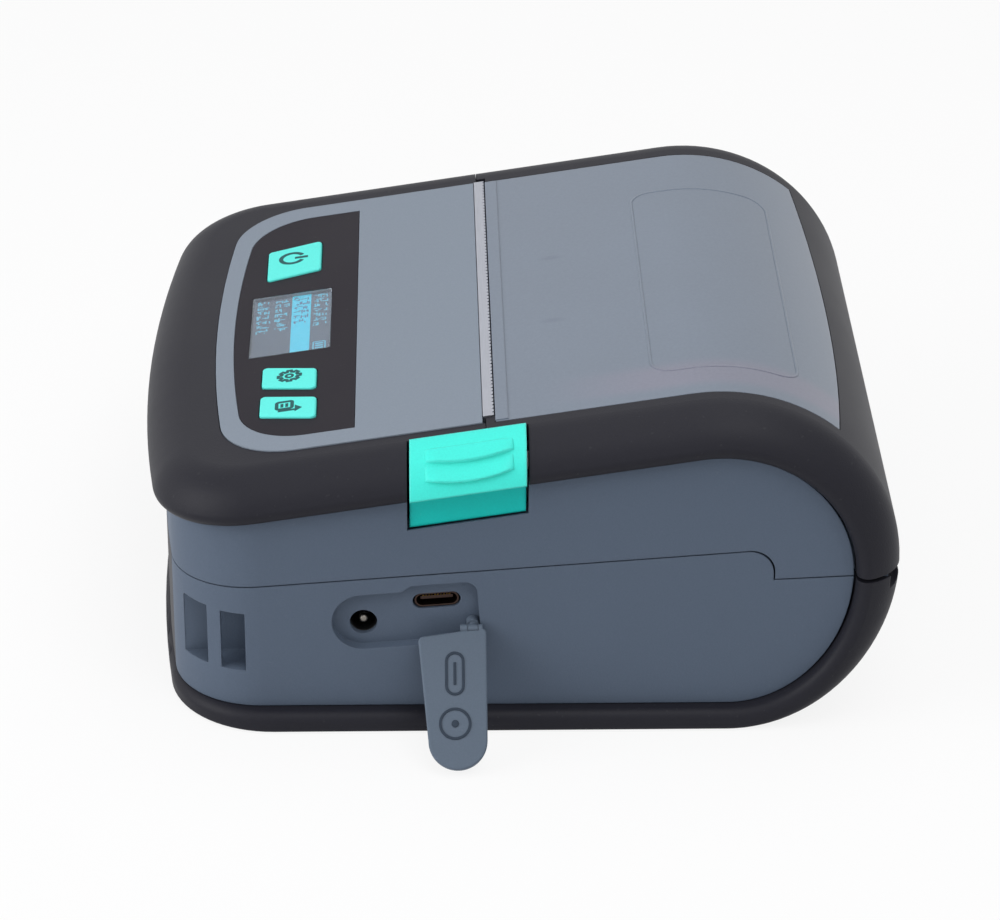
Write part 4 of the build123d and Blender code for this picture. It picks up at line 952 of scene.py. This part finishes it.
def addMark(points, faces, draw, x, wide, low, high):
    # one mark of the list: a small knot of short bars
    d = display
    half = d["barHalf"]
    for _ in range(d["bars"]):
        across = draw.random() < d["acrossShare"]
        cx = x + wide * draw.random() * d["barSpread"]
        cy = low + (high - low) * draw.random()
        long = d["barLong"][0] + d["barLong"][1] * draw.random()
        if across:
            box = (cx, cy - half, min(cx + long, x + wide), cy + half)
        else:
            box = (cx, max(low, cy - long), cx + 2 * half, cy)
        if box[2] - box[0] > d["smallest"] and box[3] - box[1] > d["smallest"]:
            addPlate(points, faces, boxCorners(*box), *d["layers"][2:])


def addBattery(points, faces, end, low, high):
    # a battery sign with three cells, at the right end of the rear row
    d = display
    left, right, margin = d["battery"]
    x0, y0, x1, y1 = end - left, low + margin, end - right, high - margin
    line, layers = d["batteryLine"], d["layers"][2:]
    addStroke(points, faces, roundedBox(x0, y0, x1, y1, line), line, *layers, closed=True)
    first, pitch, wide, inset = d["cell"]
    for cell in range(3):
        x = x0 + first + cell * pitch
        addPlate(points, faces, boxCorners(x, y0 + inset, x + wide, y1 - inset), *layers)


def makeDisplayPicture():
    d = display
    draw = random.Random(d["seed"])
    place = lidFrame(0, 0, d["lift"])
    upSlope = 1 / math.cos(shape["slope"])
    (x0, x1), (y0, y1) = d["x"], d["y"]
    points, faces = [], []
    addPlate(points, faces, boxCorners(x0, y0 * upSlope, x1, y1 * upSlope), *d["layers"][:2])
    newPiece("displayField", points, faces, "case", "displayDim", place, smooth=False)
    points, faces = [], []
    low, high = (value * upSlope for value in d["rows"][d["picked"]])
    addPlate(points, faces, boxCorners(x0, low, x1, high), *d["layers"][1:3])
    newPiece("displayPickedRow", points, faces, "case", "displayPicked", place, smooth=False)
    kinds = (("displayMarks", "displayText", False), ("displayPickedMarks", "displayInk", True))
    for name, finish, wanted in kinds:
        points, faces = [], []
        for row, (low, high) in enumerate(d["rows"]):
            if (row == d["picked"]) != wanted:
                continue
            low, high = low * upSlope + d["rowMargin"], high * upSlope - d["rowMargin"]
            x, stop = x0 + d["startMargin"], x0 + (x1 - x0) * d["written"][row]
            while x < stop:
                wide = d["markWide"][0] + d["markWide"][1] * draw.random()
                addMark(points, faces, draw, x, wide, low, high)
                x += wide + d["markGap"]
            if row == len(d["rows"]) - 1:
                addBattery(points, faces, x1, low, high)
        newPiece(name, points, faces, "case", finish, place, smooth=False)


makeDisplayPicture()
print("display picture is made")


# port flap: raised outline signs for the two ports, in place of words
flapSigns = {
    "line": 0.55,
    "rise": 0.16,
    "sunk": 0.05,
    "middle": -12.9,        # both signs lie about this place across the flap
    "socket": -9.4,         # and this far down it
    "socketHalf": (1.7, 4.2),
    "socketCorner": 1.65,
    "tongueHalf": 2.3,
    "jack": -19.6,
    "jackR": 3.0,
    "pinR": 0.75,
    "rounding": 0.06,
}


def makeFlapSigns():
    f = flapSigns
    points, faces = [], []
    middle, y = f["middle"], f["socket"]
    low, high = -f["sunk"], f["rise"]
    # a rounded port with its tongue, standing on end along the flap
    halfX, halfY = f["socketHalf"]
    outline = roundedBox(middle - halfX, y - halfY, middle + halfX, y + halfY, f["socketCorner"])
    addStroke(points, faces, outline, f["line"], low, high, closed=True)
    tongue = [(middle, y - f["tongueHalf"]), (middle, y + f["tongueHalf"])]
    addStroke(points, faces, tongue, f["line"], low, high)
    # a round port with its centre pin
    y = f["jack"]
    addStroke(points, faces, arcPath(middle, y, f["jackR"], 0, 350, 35), f["line"], low, high, closed=True)
    addPlate(points, faces, arcPath(middle, y, f["pinR"], 0, 340, 17), low, high)
    place = flapFrame()
    newPiece("flapSigns", points, faces, "flap", "flapSign", place, rounding=f["rounding"])


makeFlapSigns()
print("flap signs are made")


# ports: pin tip in the round port, gold contacts on the other port's tongue
ports = {
    "pinR": 0.98,
    "pinFrom": 62.6,
    "pinSides": 20,
    "pinProfile": ((1, -0.4), (1, 0.0), (0.92, 0.35), (0.7, 0.62), (0.35, 0.76)),   # share of radius, height
    "contact": (0.34, 0.06, 1.9),       # width, thickness, length
    "contacts": 10,
    "contactFrom": -2.7,
    "contactPitch": 0.6,
    "contactFace": 0.34,        # from the tongue's middle, just inside its face
    "contactEnd": 62.85,
    "socketPlace": (15.2, 3.9),
}


def portFrame(x, along=0.0, up=0.0):
    # a frame in the plane of the ports: X along the row of ports, Y up, Z out of the side
    a = shape["portTurn"]
    right = Vector((0, math.cos(a), math.sin(a)))
    rise = Vector((0, -math.sin(a), math.cos(a)))
    rows = Matrix((right, rise, Vector((1, 0, 0)))).transposed().to_4x4()
    place = Vector((x, shape["portY"], shape["portZ"])) + right * along + rise * up
    return Matrix.Translation(place * mm) @ rows


def makePinTip():
    # a rounded tip, one ring of points above the other
    p = ports
    points, faces = [], []
    sides, profile = p["pinSides"], p["pinProfile"]
    turns = [2 * math.pi * i / sides for i in range(sides)]
    for share, height in profile:
        radius = p["pinR"] * share
        points += [(radius * math.cos(turn), radius * math.sin(turn), height) for turn in turns]
    for ring in range(len(profile) - 1):
        for i in range(sides):
            j = (i + 1) % sides
            a = ring * sides
            faces.append((a + i, a + j, a + sides + j, a + sides + i))
    last = (len(profile) - 1) * sides
    faces.append(tuple(reversed(range(sides))))
    faces.append(tuple(last + i for i in range(sides)))
    newPiece("jackPinTip", points, faces, "case", "pinSteel", portFrame(p["pinFrom"]))


def makeSocketContacts():
    p = ports
    points, faces = [], []
    width, thick, length = p["contact"]
    along, up = p["socketPlace"]
    inner, outer = p["contactFace"], p["contactFace"] + thick
    for i in range(p["contacts"]):
        x = p["contactFrom"] + i * p["contactPitch"]
        for low, high in ((inner, outer), (-outer, -inner)):
            addPlate(points, faces, boxCorners(x - width / 2, low, x + width / 2, high), -length, 0)
    place = portFrame(p["contactEnd"], along, up)
    newPiece("socketContacts", points, faces, "case", "goldContact", place, smooth=False)


makePinTip()
makeSocketContacts()
print("port details are made")


# window: the low rib along its front edge, and the faint outline of a field on it
windowRelief = {
    "ribY": (-4.62, -1.9),
    "ribHalf": 56.6,
    "ribHeight": 0.22,
    "sunk": 0.1,
    "shoulder": (0.7, 0.05, 0.25),      # share of the height where the rib's sides turn in, and how far in
    "fieldX": (-39.0, 46.0),
    "fieldY": (27.2, 57.0),
    "fieldCorner": 4.5,
    "step": 1.5,
    "lineWidth": 0.8,
    "lineHeight": 0.14,
    "bulge": ((-0.5, -0.08), (-0.3, 0.6), (0.0, 1.0), (0.3, 0.6), (0.5, -0.08)),   # the line's section
}


def windowPoint(x, y, lift):
    # a place over the window, which is flat in front and round at the rear
    r, slope = shape["arcR"], shape["slope"]
    turn = math.asin(max(-1.0, min(1.0, (y - shape["arcY"]) / r)))
    if turn < -slope:
        return Vector((x, y - lift * math.sin(slope), topHeight(y) + lift * math.cos(slope)))
    out = r + lift
    return Vector((x, shape["arcY"] + out * math.sin(turn), shape["arcZ"] + out * math.cos(turn)))


def makeWindowRib():
    w = windowRelief
    points, faces = [], []
    half, (y0, y1) = w["ribHalf"], w["ribY"]
    share, side, flat = w["shoulder"]
    base, turnIn, top = -w["sunk"], w["ribHeight"] * share, w["ribHeight"]
    section = [(y0, base), (y1, base), (y1 - side, turnIn), (y1 - flat, top)]
    section += [(y0 + flat, top), (y0 + side, turnIn)]
    for x in (-half, half):
        points += [windowPoint(x, y, lift) for y, lift in section]
    count = len(section)
    for k in range(count):
        m = (k + 1) % count
        faces.append((k, m, m + count, k + count))
    faces.append(tuple(reversed(range(count))))
    faces.append(tuple(range(count, 2 * count)))
    newPiece("windowFrontRib", points, faces, "cover", "smokedSheet", smooth=False)


def makeWindowLine():
    w = windowRelief
    (x0, x1), (y0, y1) = w["fieldX"], w["fieldY"]
    path = []
    corners = roundedBox(x0, y0, x1, y1, w["fieldCorner"], 8)
    for i, (x, y) in enumerate(corners):
        nextX, nextY = corners[(i + 1) % len(corners)]
        steps = max(1, round(math.hypot(nextX - x, nextY - y) / w["step"]))
        path += [(x + (nextX - x) * k / steps, y + (nextY - y) * k / steps) for k in range(steps)]
    points, faces = [], []
    bulge = w["bulge"]
    count, wide = len(path), len(bulge)
    for i, (x, y) in enumerate(path):
        (bx, by), (ax, ay) = path[i - 1], path[(i + 1) % count]
        size = math.hypot(ax - bx, ay - by)
        nx, ny = (ay - by) / size, -(ax - bx) / size
        for side, rise in bulge:
            off = side * w["lineWidth"]
            lift = rise * w["lineHeight"] if rise > 0 else rise
            points.append(windowPoint(x + nx * off, y + ny * off, lift))
    for i in range(count):
        a, b = wide * i, wide * ((i + 1) % count)
        for k in range(wide):
            m = (k + 1) % wide
            faces.append((a + k, a + m, b + m, b + k))
    newPiece("windowFieldLine", points, faces, "cover", "smokedSheet")


makeWindowRib()
makeWindowLine()
print("window relief is made")
